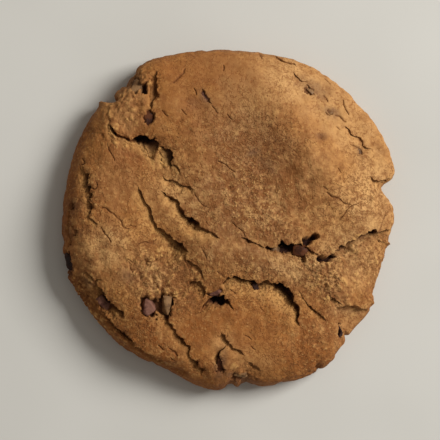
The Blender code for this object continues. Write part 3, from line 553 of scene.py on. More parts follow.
def skin(points, lift):
    """Places on the smooth skin for points of the disc."""
    bearing, disc = polar(points[:, 0], points[:, 1])
    rounding = edge_rounding(bearing)
    shoulder = broad_radius(bearing) - rounding
    turn = np.clip((disc - TOP_REACH) / ROUND_REACH, 0.0, 1.0) * (math.pi / 2)
    low = np.clip((disc - TOP_REACH - ROUND_REACH) / LOWER_REACH, 0.0, 1.0) * BASE_TURN
    tuck = BASE_TUCK * (1 - np.cos(low)) / (1 - math.cos(BASE_TURN))
    radius = np.where(disc < TOP_REACH, disc * shoulder / TOP_REACH,
                      shoulder + rounding * np.sin(turn) - tuck)
    x, y = plan(bearing, radius - notch_depth(bearing) * faded(disc, *NOTCH_FADE))
    top = lift + top_height(x, y)
    z = WIDEST_HEIGHT + (top - WIDEST_HEIGHT) * np.cos(turn) ** 0.9
    z = z - WIDEST_HEIGHT * np.sin(low) / math.sin(BASE_TURN)
    return np.stack([x, y, np.maximum(z, 0.0)], axis=-1)


def unit(rows):
    return rows / np.maximum(np.linalg.norm(rows, axis=1, keepdims=True), 1e-9)


def skin_axes(points, lift):
    """Places on the skin, with its two directions there and the way out."""
    step = 0.05
    places = skin(points, lift)
    along_u = skin(points + [step, 0.0], lift) - places
    along_v = skin(points + [0.0, step], lift) - places
    out = unit(np.cross(along_u, along_v))
    return places, unit(along_u), unit(along_v), out


def to_left(ahead):
    return np.stack([-ahead[:, 1], ahead[:, 0]], axis=1)


def value_at(along, values):
    return np.interp(along, np.arange(len(values)), values)


class Crack:
    """A ragged crack on the disc, with the width of its gap along it."""

    def __init__(self, depth, drop, slope, lift, pale, knots, order):
        self.depth, self.drop, self.slope, self.lift, self.pale = depth, drop, slope, lift, pale
        self.thin = drop == 0.0
        line = smooth_line(knots, CRACK_STEP)
        flat = to_disc(*laid_out(line[:, 0], line[:, 1]))
        at = np.column_stack([flat, np.full(len(flat), LINE_APART * order)])
        steps = np.arange(len(flat))
        ends = np.minimum(steps, steps[::-1])
        self.open = np.clip((ends + 0.4) / END_STEPS, 0.0, 1.0)
        uneven = noise_sum(at, WIDTH_NOISE, 1.0)
        width = line[:, 2] * np.minimum(0.55 + 0.22 * line[:, 2], 1.0)
        self.width = np.maximum(width * np.clip(uneven, 0.5, 1.5) * self.open, 0.06)
        self.deep = depth * self.open * np.clip(noise_sum(at, DEPTH_NOISE, 1.0), 0.4, 1.4)
        self.widest = self.width.max()
        self.reach = self.widest + max(self.slope, 2.0) + 4.0
        broad = np.minimum(self.width, 1.2)
        wander = noise_sum(at, WANDER_NOISE) * (0.20 + 0.16 * broad)
        sideways = to_left(unit(np.gradient(flat, axis=0)))
        self.line = flat + sideways * (wander * np.clip(ends / END_STEPS, 0.0, 1.0))[:, None]
        self.left = to_left(unit(np.gradient(self.line, axis=0)))
        self.lobe = noise_sum(at, LOBE_NOISE) * (0.14 + 0.62 * broad)
        self.under = UNDERCUT * self.width

    def rails(self):
        """Lines to put mesh points on, from the lip to the end of the gentle side."""
        half = self.width / 2
        if self.thin:
            offsets = [half, 0.0 * half, -half]
        else:
            lip = half + self.under
            gap = self.width + self.under
            offsets = [lip + 0.30, lip, lip - 0.25 * gap, lip - WALL * gap, -half]
            if self.widest > 0.9:
                offsets.append(lip - 0.75 * gap)
            if self.slope > 1.5:
                offsets.append(-half - 0.25 * self.slope * np.sqrt(self.open))
        return [self.line + self.left * offset[:, None] for offset in offsets]

    def measure(self, points):
        """Signed distance, place along the line and left-hand direction for each point."""
        start = self.line[:-1]
        run = self.line[1:] - start
        length2 = (run ** 2).sum(axis=1)
        gap_u = points[:, None, 0] - start[None, :, 0]
        gap_v = points[:, None, 1] - start[None, :, 1]
        t = np.clip((gap_u * run[:, 0] + gap_v * run[:, 1]) / length2, 0.0, 1.0)
        distance = np.hypot(gap_u - t * run[:, 0], gap_v - t * run[:, 1])
        nearest = distance.argmin(axis=1)
        row = np.arange(len(points))
        turn = run[nearest, 0] * gap_v[row, nearest] - run[nearest, 1] * gap_u[row, nearest]
        signed = distance[row, nearest] * np.where(turn >= 0, 1.0, -1.0)
        return signed, nearest + t[row, nearest], to_left(unit(run[nearest]))

    def near(self, points, reach):
        low = self.line.min(axis=0) - reach
        high = self.line.max(axis=0) + reach
        return np.flatnonzero(np.all((points > low) & (points < high), axis=1))

    def thin_shape(self, signed, along):
        """Depth of a hairline, and the painted shade in its groove."""
        width = value_at(along, self.width)
        off = np.clip(1.0 - np.abs(signed) / (0.75 * width + 0.05), 0.0, 1.0)
        return -self.depth * off, 0.75 * off ** 0.8

    def shape(self, signed, along):
        """Rise, cut, sideways move, and the masks of painted shade in the gap and in deep holes, of pale
        crumb and of broken lip.
        """
        width = value_at(along, self.width)
        under = value_at(along, self.under)
        opening = value_at(along, self.open) * np.clip(width / self.widest, 0, 1) ** 0.5
        deep = value_at(along, self.deep) * np.clip(0.05 + 0.65 * width, 0.0, 1.0)
        lip = width / 2 + under
        inside = (lip - signed) / (width + under)
        above = np.maximum(signed - lip, 0.0)
        below = np.maximum(-width / 2 - signed, 0.0)
        zone = np.searchsorted([0.0, WALL, 1.0], inside, side="right")
        down_wall = smooth_step(inside / WALL)
        over_floor = smooth_step((inside - WALL) / (1.0 - WALL))
        gentle = np.clip(below / (self.slope * np.sqrt(opening) + 0.05), 0.0, 1.0)

        def by_zone(on_top, in_wall, in_floor, on_slope):
            return np.choose(zone, [on_top, in_wall, in_floor, on_slope])

        foot = self.drop * opening
        raised = self.lift * opening
        edge = np.clip(width, 0.4, 1.0) * opening
        rounding = 0.32 * edge * np.exp(-above / 0.42)
        rolled = 0.22 * edge * np.exp(-below / 0.35)
        rise = by_zone(raised * np.exp(-(above / LIFT_FADE) ** 1.2) - rounding,
                       (raised - rounding) * (1.0 - down_wall), 0.0, 0.0)
        cut = by_zone(0.0, -(foot + deep) * down_wall, -foot - deep * (1.0 - over_floor),
                      -foot * (1.0 - gentle) ** 1.7 - rolled)
        ragged = np.exp(-above / LIP_FADE)
        lip_move = -(under + value_at(along, self.lobe))
        corner = WALL * (width + under) - under + UNDERCUT * width
        move = by_zone(lip_move * ragged, lip_move + (corner - lip_move) * down_wall,
                       corner * (1.0 - over_floor), 0.0)
        # Painted shade: the gap's wall and floor, and a thin band of the gentle side below the lip, are
        # darkened for the shade that falls there
        dark = by_zone(0.0, smooth_step(inside / WALL * 2.2),
                       1.0 - 0.9 * over_floor ** (3.0 - 1.9 * self.pale),
                       0.25 * np.exp(-below / 0.2))
        dark = dark * np.clip(deep / 1.2, 0.45, 1.0)
        # Painted shade, darker still, in wide deep holes
        hole_shade = dark * smooth_step((width - 0.8) / 0.9) * np.clip(deep / 1.8, 0.0, 1.0)
        crumb = by_zone(0.0, 0.0, self.pale * np.sqrt(over_floor),
                        self.pale * (1.0 - gentle) ** 0.6 * np.sqrt(opening))
        broken = by_zone(ragged, 0.0, 0.0, (1.0 - gentle) * (0.3 + 0.7 * self.pale))
        broken = broken * np.clip(width / 0.9, 0.25, 1.0) * opening
        return rise, cut, move, (dark, hole_shade, crumb, broken)


def smooth_line(knots, step):
    """Points about a step apart on a smooth curve through the knots."""
    knots = [Vector(knot) for knot in knots]
    knots = [2 * knots[0] - knots[1]] + knots + [2 * knots[-1] - knots[-2]]
    line = []
    for a, b, c, d in zip(knots, knots[1:], knots[2:], knots[3:]):
        count = max(2, round((c - b).xy.length / step))
        for i in range(count):
            t = i / count
            line.append(0.5 * (2 * b + (c - a) * t + (2 * a - 5 * b + 4 * c - d) * t ** 2
                               + (3 * b - a - 3 * c + d) * t ** 3))
    line.append(knots[-2])
    return np.array([tuple(point) for point in line])


def all_cracks():
    cracks = [Crack(*row, order) for order, row in enumerate(CRACKS)]
    for order, (width, points) in enumerate(HAIRLINES):
        knots = [(x, y, width) for x, y in points]
        cracks.append(Crack(0.15 + 0.7 * width, 0.0, 0.0, 0.0, 0.0, knots, order + 100))
    return cracks


def hex_grid(radius, step):
    """A triangular grid over a disc."""
    rows = int(radius / step) + 3
    column, row = np.meshgrid(np.arange(-rows, rows + 1), np.arange(-rows - 3, rows + 4))
    u = (column + 0.5 * (row % 2)) * step
    v = row * step * math.sqrt(0.75)
    grid = np.stack([u.ravel(), v.ravel()], axis=1)
    return grid[np.hypot(grid[:, 0], grid[:, 1]) < radius]


def line_distance(points, cracks, reach):
    """Distance of each point from the nearest gap, up to a reach."""
    distance = np.full(len(points), reach)
    for crack in cracks:
        near = crack.near(points, reach + crack.widest)
        if len(near):
            signed, along, _ = crack.measure(points[near])
            gap = np.abs(signed) - value_at(along, crack.width) / 2
            distance[near] = np.minimum(distance[near], gap)
    return distance


def skin_points(cracks):
    """Points of the disc, the edges of the rails among them and how many lie on its rim. There
    are rails along the cracks, and a grid that is finer beside them."""
    rng = np.random.default_rng(5)
    count = round(2 * math.pi * DISC / LOWER_STEP)
    turn = np.arange(count) * 2 * math.pi / count
    points = [DISC * np.stack([np.cos(turn), np.sin(turn)], axis=1)]
    edges = []
    total = count
    for crack in cracks:
        for rail in crack.rails():
            rail = rail[np.hypot(rail[:, 0], rail[:, 1]) < DISC - 1.0]
            points.append(rail)
            edges += [(total + i, total + i + 1) for i in range(len(rail) - 1)]
            total += len(rail)
    reach = TOP_REACH + ROUND_REACH
    coarse = hex_grid(DISC - 0.7 * LOWER_STEP, LOWER_STEP)
    coarse = coarse[np.hypot(coarse[:, 0], coarse[:, 1]) > reach]
    even = hex_grid(reach - 0.3, GRID_STEP)
    even = even[line_distance(even, cracks, 3.0) > NEAR_CRACK]
    fine = hex_grid(reach - 1.0, GRID_STEP * FINER)
    fine = fine[line_distance(fine, cracks, 3.0) <= NEAR_CRACK]
    taken = set(map(tuple, np.round(np.concatenate(points[1:]) / RAIL_CELL).astype(int)))
    cells = np.round(fine / RAIL_CELL).astype(int)
    fine = fine[[tuple(cell) not in taken for cell in cells]]
    for grid, step in ((coarse, LOWER_STEP), (even, GRID_STEP), (fine, GRID_STEP * FINER)):
        points.append(grid + rng.uniform(-SCATTER, SCATTER, grid.shape) * step)
    return np.concatenate(points), edges, count


def triangulate(points, edges, fill, merge):
    """Points and triangles of a flat mesh that has the given points and edges."""
    places = [Vector(point) for point in points.tolist()]
    result = delaunay_2d_cdt(places, edges, [], fill, merge)
    return np.array([tuple(point) for point in result[0]]), result[2]


def crack_shape(cracks, points):
    """What the cracks do to the skin: rise along the way out, shift along the disc, and the
    masks of painted shade in the gaps and the deep holes, of the pale crumb and of the broken lips."""
    rise = np.zeros(len(points))
    floor = np.zeros(len(points))
    shift = np.zeros((len(points), 2))
    masks = np.zeros((4, len(points)))
    for crack in cracks:
        near = crack.near(points, crack.reach)
        if not len(near):
            continue
        signed, along, left = crack.measure(points[near])
        if crack.thin:
            cut, dark = crack.thin_shape(signed, along)
            floor[near] = np.minimum(floor[near], cut)
            # Hairlines add painted shade in their grooves
            masks[0, near] = np.maximum(masks[0, near], dark)
            continue
        up, cut, move, seen = crack.shape(signed, along)
        past_end = (along <= 0.0) | (along >= len(crack.line) - 1.001)
        beyond = np.where(past_end, np.exp(-(np.abs(signed) / 0.8) ** 2), 1.0)
        rise[near] += up * beyond
        floor[near] = np.minimum(floor[near], cut * beyond)
        shift[near] += left * (move * beyond)[:, None]
        masks[:, near] = np.maximum(masks[:, near], np.array(seen) * beyond)
    return rise + floor, shift, masks


def spots_mask(x, y, spots, ragged):
    """The strongest of some oval spots at each point, with a ragged edge."""
    mask = np.zeros(len(x))
    for *spot, strength in spots:
        hill = swell(x, y, spot)
        mask = np.maximum(mask, strength * np.clip(1.3 * hill + ragged * np.sqrt(hill), 0, 1))
    return mask


def grain(places, x, y, broken, rim, rough):
    """Height of the grain, of broader waves and of crumbs, and masks of the crumbs' tops, which
    get pale crumb partly as painted highlight, and of the painted shade in the clefts between them."""
    fine = noise_at(places, *FINE_GRAIN)
    coarse = noise_at(places, *COARSE_GRAIN)
    waves = noise_at(places, *WAVES)
    creases = -np.abs(noise_at(places, *CREASES))
    crumbled = np.zeros(len(places))
    for *spot, rise in CRUMBLED:
        crumbled = np.maximum(crumbled, rise * np.clip(1.6 * swell(x, y, spot), 0, 1))
    loose = np.clip(crumbled * 3.4 + 0.8 * broken, 0, 1)
    some = np.flatnonzero(loose > 0.03)
    large = np.zeros(len(places))
    small = np.zeros(len(places))
    bent = places + 0.5 * np.column_stack([coarse, fine, coarse])
    large[some] = lumps_at(bent[some], *LARGE_LUMPS)
    small[some] = lumps_at(bent[some], *SMALL_LUMPS)
    lumps = 0.42 * large * (0.75 + 0.9 * waves) + 0.24 * small
    height = 0.05 * fine + 0.13 * coarse + 0.20 * waves + 0.38 * creases
    height += rough * (0.05 * fine + 0.16 * coarse + 0.26 * waves)
    height += crumbled * (4.2 * lumps - 1.2 + 0.5 * fine)
    height += broken * (1.1 * lumps - 0.4 + 0.35 * fine)
    height += rim * (0.30 * noise_at(places, *RIM_GRAIN) + 0.22 * coarse)
    pale_lit_tops = loose * smooth_step((lumps - 0.34) / 0.30)
    shaded_clefts = loose * np.maximum(1.0 - smooth_step(large / 0.30), 0.7 - smooth_step(small / 0.2))
    return height, pale_lit_tops, np.clip(shaded_clefts, 0, 1)


def on_ledge(x, y):
    """1 on the ledge, falling to 0 across its edge."""
    inside = np.full(len(x), 9.0)
    for (x0, y0), (x1, y1) in zip(LEDGE, LEDGE[1:] + LEDGE[:1]):
        span = math.hypot(x1 - x0, y1 - y0)
        inside = np.minimum(inside, ((x1 - x0) * (y - y0) - (y1 - y0) * (x - x0)) / span)
    return smooth_step(inside / 0.6 + 0.5)


def openings(x, y, places):
    """Depth of the ragged windows over the chocolate, and their mask, which also carries painted shade."""
    depth = np.zeros(len(x))
    mask = np.zeros(len(x))
    ragged = noise_sum(places, WINDOW_NOISE)
    bent = places + 0.4 * ragged[:, None]
    ragged = ragged + 0.34 * (0.5 - lumps_at(bent, *WINDOW_CORNERS))
    x, y = (noise_sum(places, rows, start) for rows, start in zip(WINDOW_WARP, (x, y)))
    for *spot, deep in OPENINGS:
        along, across = over_oval(x, y, spot)
        away = np.cbrt(np.abs(along) ** 3 + np.abs(across) ** 3)
        inside = smooth_step((1.0 - away - ragged) / 0.22)
        depth = np.maximum(depth, deep * inside)
        mask = np.maximum(mask, inside)
    return depth, mask


def pits(x, y):
    depth = np.zeros(len(x))
    for at_x, at_y, radius in PITS:
        off = np.hypot(x - at_x, y - at_y) / radius
        depth = np.maximum(depth, radius * np.exp(-off ** 2 * 1.3))
    return depth


def top_lift(thickness):
    """How far the top is lifted so that its highest place comes just below the box's."""
    x, y = np.meshgrid(np.arange(-40.0, 41.0), np.arange(-40.0, 41.0))
    inside = np.hypot(x, y) < TOP_REACH
    return thickness - SKIN_DROP - top_height(x[inside], y[inside]).max()


def dough_surface(box):
    """Corner places in millimetres, triangles, the number of corners on the disc's rim and the
    masks for the material."""
    low, high = box
    thickness = (high.z - low.z) / MM
    cracks = all_cracks()
    points, edges, ring = skin_points(cracks)
    points, triangles = triangulate(points, edges, WHOLE_HULL, SKIN_MERGE)
    places, along_u, along_v, out = skin_axes(points, top_lift(thickness))
    rise, shift, (gap, hole_shade, pale, broken) = crack_shape(cracks, points)
    disc = np.hypot(points[:, 0], points[:, 1])
    upper = 1.0 - faded(disc, *CRACK_FADE)
    rim = faded(disc, *RIM_FADE)
    lower = 1.0 - 0.75 * faded(disc, *BASE_FADE)
    x, y = in_layout(places[:, 0], places[:, 1])
    broad = noise_sum(places, PATCH_NOISE)
    rough = spots_mask(x, y, ROUGHENED, broad) - spots_mask(x, y, SMOOTHED, broad)
    height, pale_lit_tops, shaded_clefts = grain(places, x, y, broken * upper, rim, rough)
    hollow = pits(x, y)
    window, window_shade_mask = openings(x, y, places)
    wobble = noise_sum(places, WOBBLE_NOISE)
    ledge = on_ledge(x + wobble, y + 0.6 * wobble)
    height = height * (1.0 - 0.85 * ledge)
    rise = rise * upper + height * (1.0 - 0.7 * gap) * lower - hollow * 0.7
    rise -= LEDGE_DROP * ledge * (1.0 - rim)
    rise = np.minimum(rise, rise * 0.3 - window)
    shift = shift * upper[:, None]
    moved = places + out * rise[:, None]
    moved += along_u * shift[:, :1] + along_v * shift[:, 1:]
    moved[disc > DISC - 0.01, 2] = 0.0
    moved[:, 2] = np.clip(moved[:, 2], 0.0, thickness + 0.3)
    # The side is darkened most away from the lamp: painted shade on top of its browning
    browned_and_shaded = 0.5 - 0.5 * np.cos(np.arctan2(places[:, 1], places[:, 0]) - LEAST_SHADE_BEARING)
    masks = {
        # Painted shade: crack gaps, pits and the windows over the chocolate are darkened, deep holes most
        "gap": np.clip(gap * upper + hollow * 0.9 + window_shade_mask * 0.8, 0, 1),
        "hole_shade": np.clip(hole_shade * upper + window_shade_mask * 0.4 * window, 0, 1),
        "pale": np.clip(pale * upper, 0, 1),
        "stain": spots_mask(x, y, STAINS, wobble),
        "browning_and_shade": spots_mask(x, y, BROWNED_AND_SHADED_SPOTS, broad),
        "pale_and_lit": spots_mask(x, y, PALED_AND_LIT_SPOTS, broad),
        "grey": spots_mask(x, y, GREYED, broad),
        "side": faded(disc, *SIDE_FADE) * (0.1 + 0.9 * browned_and_shaded),
        # Pale crumb on the crumbs' tops, partly painted highlight
        "crumb": pale_lit_tops,
        # Painted shade in the clefts between crumbs
        "cleft_shade": shaded_clefts,
        "rough": rough,
    }
    moved[:, :2] -= outline_middle()
    return moved, triangles, ring, masks


def base_points(rim):
    """Grid points and triangles of the base, inside the closed rim."""
    grid = hex_grid(60.0, BASE_STEP)
    radius = np.hypot(rim[:, 0], rim[:, 1])
    bearing = np.arctan2(rim[:, 1], rim[:, 0])
    order = np.argsort(bearing)
    edge = np.interp(np.arctan2(grid[:, 1], grid[:, 0]), bearing[order], radius[order],
                     period=2 * math.pi)
    grid = grid[np.hypot(grid[:, 0], grid[:, 1]) < edge - 0.8 * BASE_STEP]
    count = len(rim)
    edges = [(i, (i + 1) % count) for i in range(count)]
    return triangulate(np.concatenate([rim, grid]), edges, INSIDE_EDGES, BASE_MERGE)


def add_object(name, data):
    thing = bpy.data.objects.new(name, data)
    bpy.context.scene.collection.objects.link(thing)
    return thing


def make_dough(box):
    places, triangles, ring, masks = dough_surface(box)
    base, base_triangles = base_points(places[:ring, :2])
    inner = base[ring:]
    hollows = noise_at(np.column_stack([inner, inner[:, 0] * 0]), *BASE_HOLLOWS)
    inner = np.column_stack([inner, 0.15 * np.clip(hollows, 0, 1)])
    total = len(places)
    faces = [tuple(face) for face in triangles]
    for face in base_triangles:
        faces.append(tuple(i if i < ring else i + total - ring for i in reversed(face)))
    everything = np.concatenate([places, inner])
    mesh = bpy.data.meshes.new("dough_body")
    mesh.from_pydata((everything * MM).tolist(), [], faces)
    for name, mask in masks.items():
        values = np.concatenate([mask, np.full(len(inner), 1.0 if name == "side" else 0.0)])
        attribute = mesh.attributes.new(name, "FLOAT", "POINT")
        attribute.data.foreach_set("value", values.astype(np.float32))
    mesh.shade_smooth()
    mesh.validate()
    print("dough:", len(everything), "points,", len(faces), "triangles")
    mesh.materials.append(dough_material())
    return add_object("dough_body", mesh)


class Shading:
    """Short calls for building a node material. Sizes are in millimetres."""

    def __init__(self, name):
        self.material = bpy.data.materials.new(name)
        self.material.use_nodes = True
        self.tree = self.material.node_tree
        self.shader = self.tree.nodes["Principled BSDF"]
        self.place = self.node("TexCoord", {})["Object"]
        self.colour = None

    def put(self, socket, value):
        if isinstance(value, bpy.types.NodeSocket):
            self.tree.links.new(value, socket)
        elif isinstance(value, tuple) and socket.type == "RGBA":
            socket.default_value = (*value, 1.0)
        else:
            socket.default_value = value

    def node(self, kind, inputs, **settings):
        """The outputs of a new node with the given settings and inputs."""
        node = self.tree.nodes.new("ShaderNode" + kind)
        for name, value in settings.items():
            setattr(node, name, value)
        for name, value in inputs.items():
            self.put(node.inputs[name], value)
        return node.outputs

    def math(self, operation, *values):
        return self.node("Math", dict(enumerate(values)), operation=operation)[0]

    def times(self, first, second):
        return self.math("MULTIPLY", first, second)

    def vectors(self, operation, *values):
        return self.node("VectorMath", dict(enumerate(values)), operation=operation)[0]

    def pattern(self, kind, size, place=None, **settings):
        inputs = {"Vector": place or self.place, "Scale": 1.0 / (size * MM)}
        return self.node(kind, inputs, **settings)

    def noise(self, size, detail=2.0, rough=0.5):
        inputs = {"Vector": self.place, "Scale": 1.0 / (size * MM), "Detail": detail,
                  "Roughness": rough}
        return self.node("TexNoise", inputs)["Fac"]

    def crackle(self, cell, high, whole):
        """Short curved lines of painted shade in creases: parts of the borders of warped cells."""
        warp = self.pattern("TexNoise", 0.8 * cell)["Color"]
        centred = self.vectors("SUBTRACT", warp, (0.5, 0.5, 0.5))
        shifted = self.vectors("MULTIPLY_ADD", centred, (1.6 * cell * MM,) * 3, self.place)
        cells = self.pattern("TexVoronoi", cell, shifted, feature="DISTANCE_TO_EDGE")
        line = self.ramp(cells["Distance"], 0.02, high, 1.0, 0.0)
        broken = self.ramp(self.noise(0.9 * cell, 1.0), 0.46, 0.58)
        patch = self.ramp(self.noise(whole), 0.40, 0.60, 0.2, 1.0)
        return self.times(line, self.times(broken, patch))

    def grit(self, size):
        """Spots at random cells: light ones for painted glints and dark ones for painted shade in pits."""
        cells = self.pattern("TexVoronoi", size)
        chance = self.node("SeparateColor", {0: cells["Color"]})
        spot = self.ramp(cells["Distance"], 0.18, 0.42, 1.0, 0.0)
        light = self.times(spot, self.ramp(chance[0], 0.74, 0.86))
        dark = self.times(spot, self.ramp(chance[1], 0.80, 0.90))
        return light, dark

    def mask(self, name):
        return self.node("Attribute", {}, attribute_name=name)["Fac"]

    def ramp(self, value, low, high, from_value=0.0, to_value=1.0):
        inputs = {"Value": value, "From Min": low, "From Max": high, "To Min": from_value,
                  "To Max": to_value}
        return self.node("MapRange", inputs, interpolation_type="SMOOTHSTEP")[0]

    def mix(self, share, first, second):
        return self.node("Mix", {0: share, 6: first, 7: second}, data_type="RGBA")[2]

    def lay(self, share, tone):
        """Lays a tone over the colour so far."""
        self.colour = self.mix(share, self.colour, tone)

    def mottle(self, pattern, share, dark, light):
        """Lays a dark tone over the low parts of a pattern and a light one over its high parts."""
        low, high, strength, tone = dark
        self.lay(self.times(self.ramp(pattern, low, high, strength, 0.0), share), tone)
        low, high, strength, tone = light
        self.lay(self.times(self.ramp(pattern, low, high, 0.0, strength), share), tone)

    def bump(self, height, distance, strength, **before):
        inputs = {"Distance": distance * MM, "Strength": strength, "Height": height, **before}
        return self.node("Bump", inputs)[0]

    def finish(self, rough, normal, specular):
        self.put(self.shader.inputs["Base Color"], self.colour)
        self.put(self.shader.inputs["Roughness"], rough)
        self.put(self.shader.inputs["Normal"], normal)
        self.shader.inputs["Specular IOR Level"].default_value = specular
        return self.material


# Tones of the dough
GOLD = (0.380, 0.153, 0.034)
TAN = (0.45, 0.190, 0.045)
BROWN = (0.238, 0.078, 0.015)
DUSKY = (0.225, 0.082, 0.019)
# Browning, partly painted shade
BROWNING_AND_SHADE_TONE = (0.265, 0.077, 0.012)
GREY = (0.305, 0.152, 0.062)
# Paler crust, partly painted light
PALE_AND_LIT_TONE = (0.660, 0.370, 0.142)
CREAM = (0.69, 0.39, 0.138)
PALE_CRUMB = (0.64, 0.35, 0.110)
# Browned side, darkened for painted shade; also the painted shade of the fine crazing
SIDE_BROWN_AND_SHADE = (0.24, 0.074, 0.014)
# Painted shade for crack gaps, pits, windows and the clefts between crumbs
GAP_SHADE = (0.165, 0.054, 0.013)
# Painted shade, near black, for the deepest holes
DEEP_HOLE_SHADE = (0.034, 0.009, 0.004)
STAIN = (0.165, 0.078, 0.036)

# Mottles of the crust: the limits in the pattern, the strength and the tone of the dark parts
# and of the light ones
BROAD_MOTTLE = (0.36, 0.50, 0.42, DUSKY), (0.52, 0.66, 0.34, CREAM)
MIDDLE_MOTTLE = (0.34, 0.52, 0.46, DUSKY), (0.52, 0.70, 0.14, CREAM)
FINE_MOTTLE = (0.30, 0.48, 0.50, BROWN), (0.54, 0.72, 0.38, CREAM)


def dough_material():
    """Baked dough: broad tones, partly painted shade and light in the browned and paled crust,
    mottled crust with wrinkles and pits darkened by painted shade and light specks painted as
    glints, pale crumb with painted highlight on the crumbs' tops, a browned side with painted shade
    away from the lamp, chocolate stains, and painted shade in gaps, clefts and holes."""
    s = Shading("baked_dough")
    rough = s.mask("rough")
    more = s.math("MULTIPLY_ADD", rough, 0.95, 0.85)
    s.colour = s.mix(s.ramp(s.noise(8.0), 0.38, 0.62), GOLD, TAN)
    # Browned crust with painted shade, greyer crust, and paler crust with painted light
    for name, share, tone in (("browning_and_shade", 0.9, BROWNING_AND_SHADE_TONE), ("grey", 0.8, GREY), ("pale_and_lit", 0.9, PALE_AND_LIT_TONE)):
        s.lay(s.times(s.mask(name), share), tone)
    s.lay(s.ramp(s.noise(2.6, 3.0, 0.6), 0.48, 0.70, 0.0, 0.5), BROWN)
    s.mottle(s.noise(5.2, 1.0), rough, *BROAD_MOTTLE)
    for size in (3.2, 1.5):
        s.mottle(s.noise(size, 1.0), more, *MIDDLE_MOTTLE)
    # Browned side, partly browning and partly painted shade away from the lamp
    s.lay(s.times(s.mask("side"), 0.8), SIDE_BROWN_AND_SHADE)
    s.lay(s.mask("pale"), PALE_CRUMB)
    fine = s.noise(0.8, 3.0, 0.65)
    s.mottle(fine, more, *FINE_MOTTLE)
    # Light specks are painted glints on sugar grains; dark specks are painted shade in tiny pits
    light, dark = s.grit(0.7)
    s.lay(s.times(light, s.times(more, 0.34)), CREAM)
    # Pale crumb on the crumbs' tops, partly painted highlight
    s.lay(s.mask("crumb"), PALE_CRUMB)
    # Fine crazing: painted shade in its creases, which the bump also presses in
    crease_shade_lines = s.math("MAXIMUM", s.crackle(1.3, 0.13, 9.0), s.crackle(0.8, 0.16, 14.0))
    s.lay(s.times(crease_shade_lines, 0.65), SIDE_BROWN_AND_SHADE)
    # Painted shade in tiny pits
    s.lay(s.times(dark, 0.35), BROWN)
    # Painted shade in the clefts between crumbs
    s.lay(s.times(s.mask("cleft_shade"), 0.5), GAP_SHADE)
    # Chocolate stains, then painted shade in gaps and deep holes
    for name, tone in (("stain", STAIN), ("gap", GAP_SHADE), ("hole_shade", DEEP_HOLE_SHADE)):
        s.lay(s.mask(name), tone)
    height = s.math("SUBTRACT", fine, s.times(crease_shade_lines, 0.5))
    height = s.math("SUBTRACT", height, s.times(dark, 0.3))
    bump = s.bump(s.times(height, more), 0.26, 1.0)
    bump = s.bump(s.noise(0.35, 1.0), 0.05, 0.5, Normal=bump)
    return s.finish(s.ramp(fine, 0.3, 0.7, 0.72, 0.9), bump, 0.25)


# Chocolate: name, colour of the fresh breaks and colour of the bloom
MAUVE = ("bloomed_chocolate", (0.080, 0.028, 0.018), (0.200, 0.088, 0.057))
OLIVE = ("dusted_chocolate", (0.125, 0.060, 0.024), (0.270, 0.145, 0.062))
# Near black: dark chocolate with painted shade, for chunks that sit in deep shade
SHADED_BLACK = ("shaded_dark_chocolate", (0.014, 0.004, 0.002), (0.038, 0.013, 0.008))
RED = ("melted_chocolate", (0.042, 0.011, 0.003), (0.105, 0.032, 0.010))

# The chunks that are not mauve
# The near-black chunks sit in deep shade and carry painted shade
TINTS = {
    "chunk_near_left_twin": OLIVE, "chunk_far_rim": OLIVE, "chunk_near_rim_twin": OLIVE,
    "chunk_far_left_rim": OLIVE, "chunk_far_right": OLIVE, "chunk_right_rim": OLIVE,
    "chunk_cavity_left": OLIVE, "chunk_left_rim": SHADED_BLACK, "chunk_arc": SHADED_BLACK,
    "chunk_right_near": SHADED_BLACK, "chunk_far_left": RED, "chunk_cavity_right": RED,
    "chunk_near_rim": RED,
}

# Surface of the chocolate
WELD = 0.02             # corners of the solid closer than this become one
BEVEL = 0.16
SHARP_EDGE = math.radians(50)
BROKEN = ((0.10, 0.9), (0.05, 0.4))     # strength and size of its unevenness


def chocolate_material(name, dark, bloom):
    """Broken chocolate with a dull bloom."""
    s = Shading(name)
    s.colour = s.mix(s.ramp(s.noise(1.6, 3.0), 0.36, 0.58), dark, bloom)
    s.lay(s.ramp(s.noise(0.4), 0.55, 0.75, 0.0, 0.4), tuple(1.5 * part for part in bloom))
    bump = s.bump(s.noise(0.5, 3.0), 0.12, 0.7)
    return s.finish(s.ramp(s.noise(0.8), 0.3, 0.7, 0.5, 0.75), bump, 0.15)


def make_chunk(name, node, material, sink):
    """A broken piece of chocolate in the place of a chunk's solid."""
    form = bmesh.new()
    form.from_mesh(node.data)
    bmesh.ops.remove_doubles(form, verts=form.verts[:], dist=WELD * MM)
    bmesh.ops.bevel(form, geom=form.edges[:], offset=BEVEL * MM, segments=1, affect="EDGES",
                    clamp_overlap=True)
    bmesh.ops.subdivide_edges(form, edges=form.edges[:], cuts=2, use_grid_fill=True)
    bmesh.ops.triangulate(form, faces=form.faces[:])
    form.normal_update()
    for corner in form.verts:
        at = corner.co / MM
        rough = sum(strength * noise.noise(at / size) for strength, size in BROKEN)
        corner.co += corner.normal * rough * MM
        corner.co.z -= sink * MM
    mesh = bpy.data.meshes.new(name)
    form.to_mesh(mesh)
    form.free()
    mesh.shade_smooth()
    mesh.set_sharp_from_angle(angle=SHARP_EDGE)
    mesh.materials.append(material)
    return add_object(name, mesh)


# Table, room and window light
TABLE_HALF = 0.8        # metres
TABLE_TONES = (0.60, 0.585, 0.54), (0.64, 0.625, 0.58)
ROOM_COLOUR = (1.0, 0.94, 0.87, 1.0)
ROOM_STRENGTH = 0.25
LAMP_SIZE = 0.56        # metres
LAMP_DISTANCE = 1.1     # metres
LAMP_POWER = 13.8
LAMP_COLOUR = (1.0, 0.995, 0.975)
LAMP_BEARING = math.radians(24)
LAMP_HEIGHT = math.radians(40)

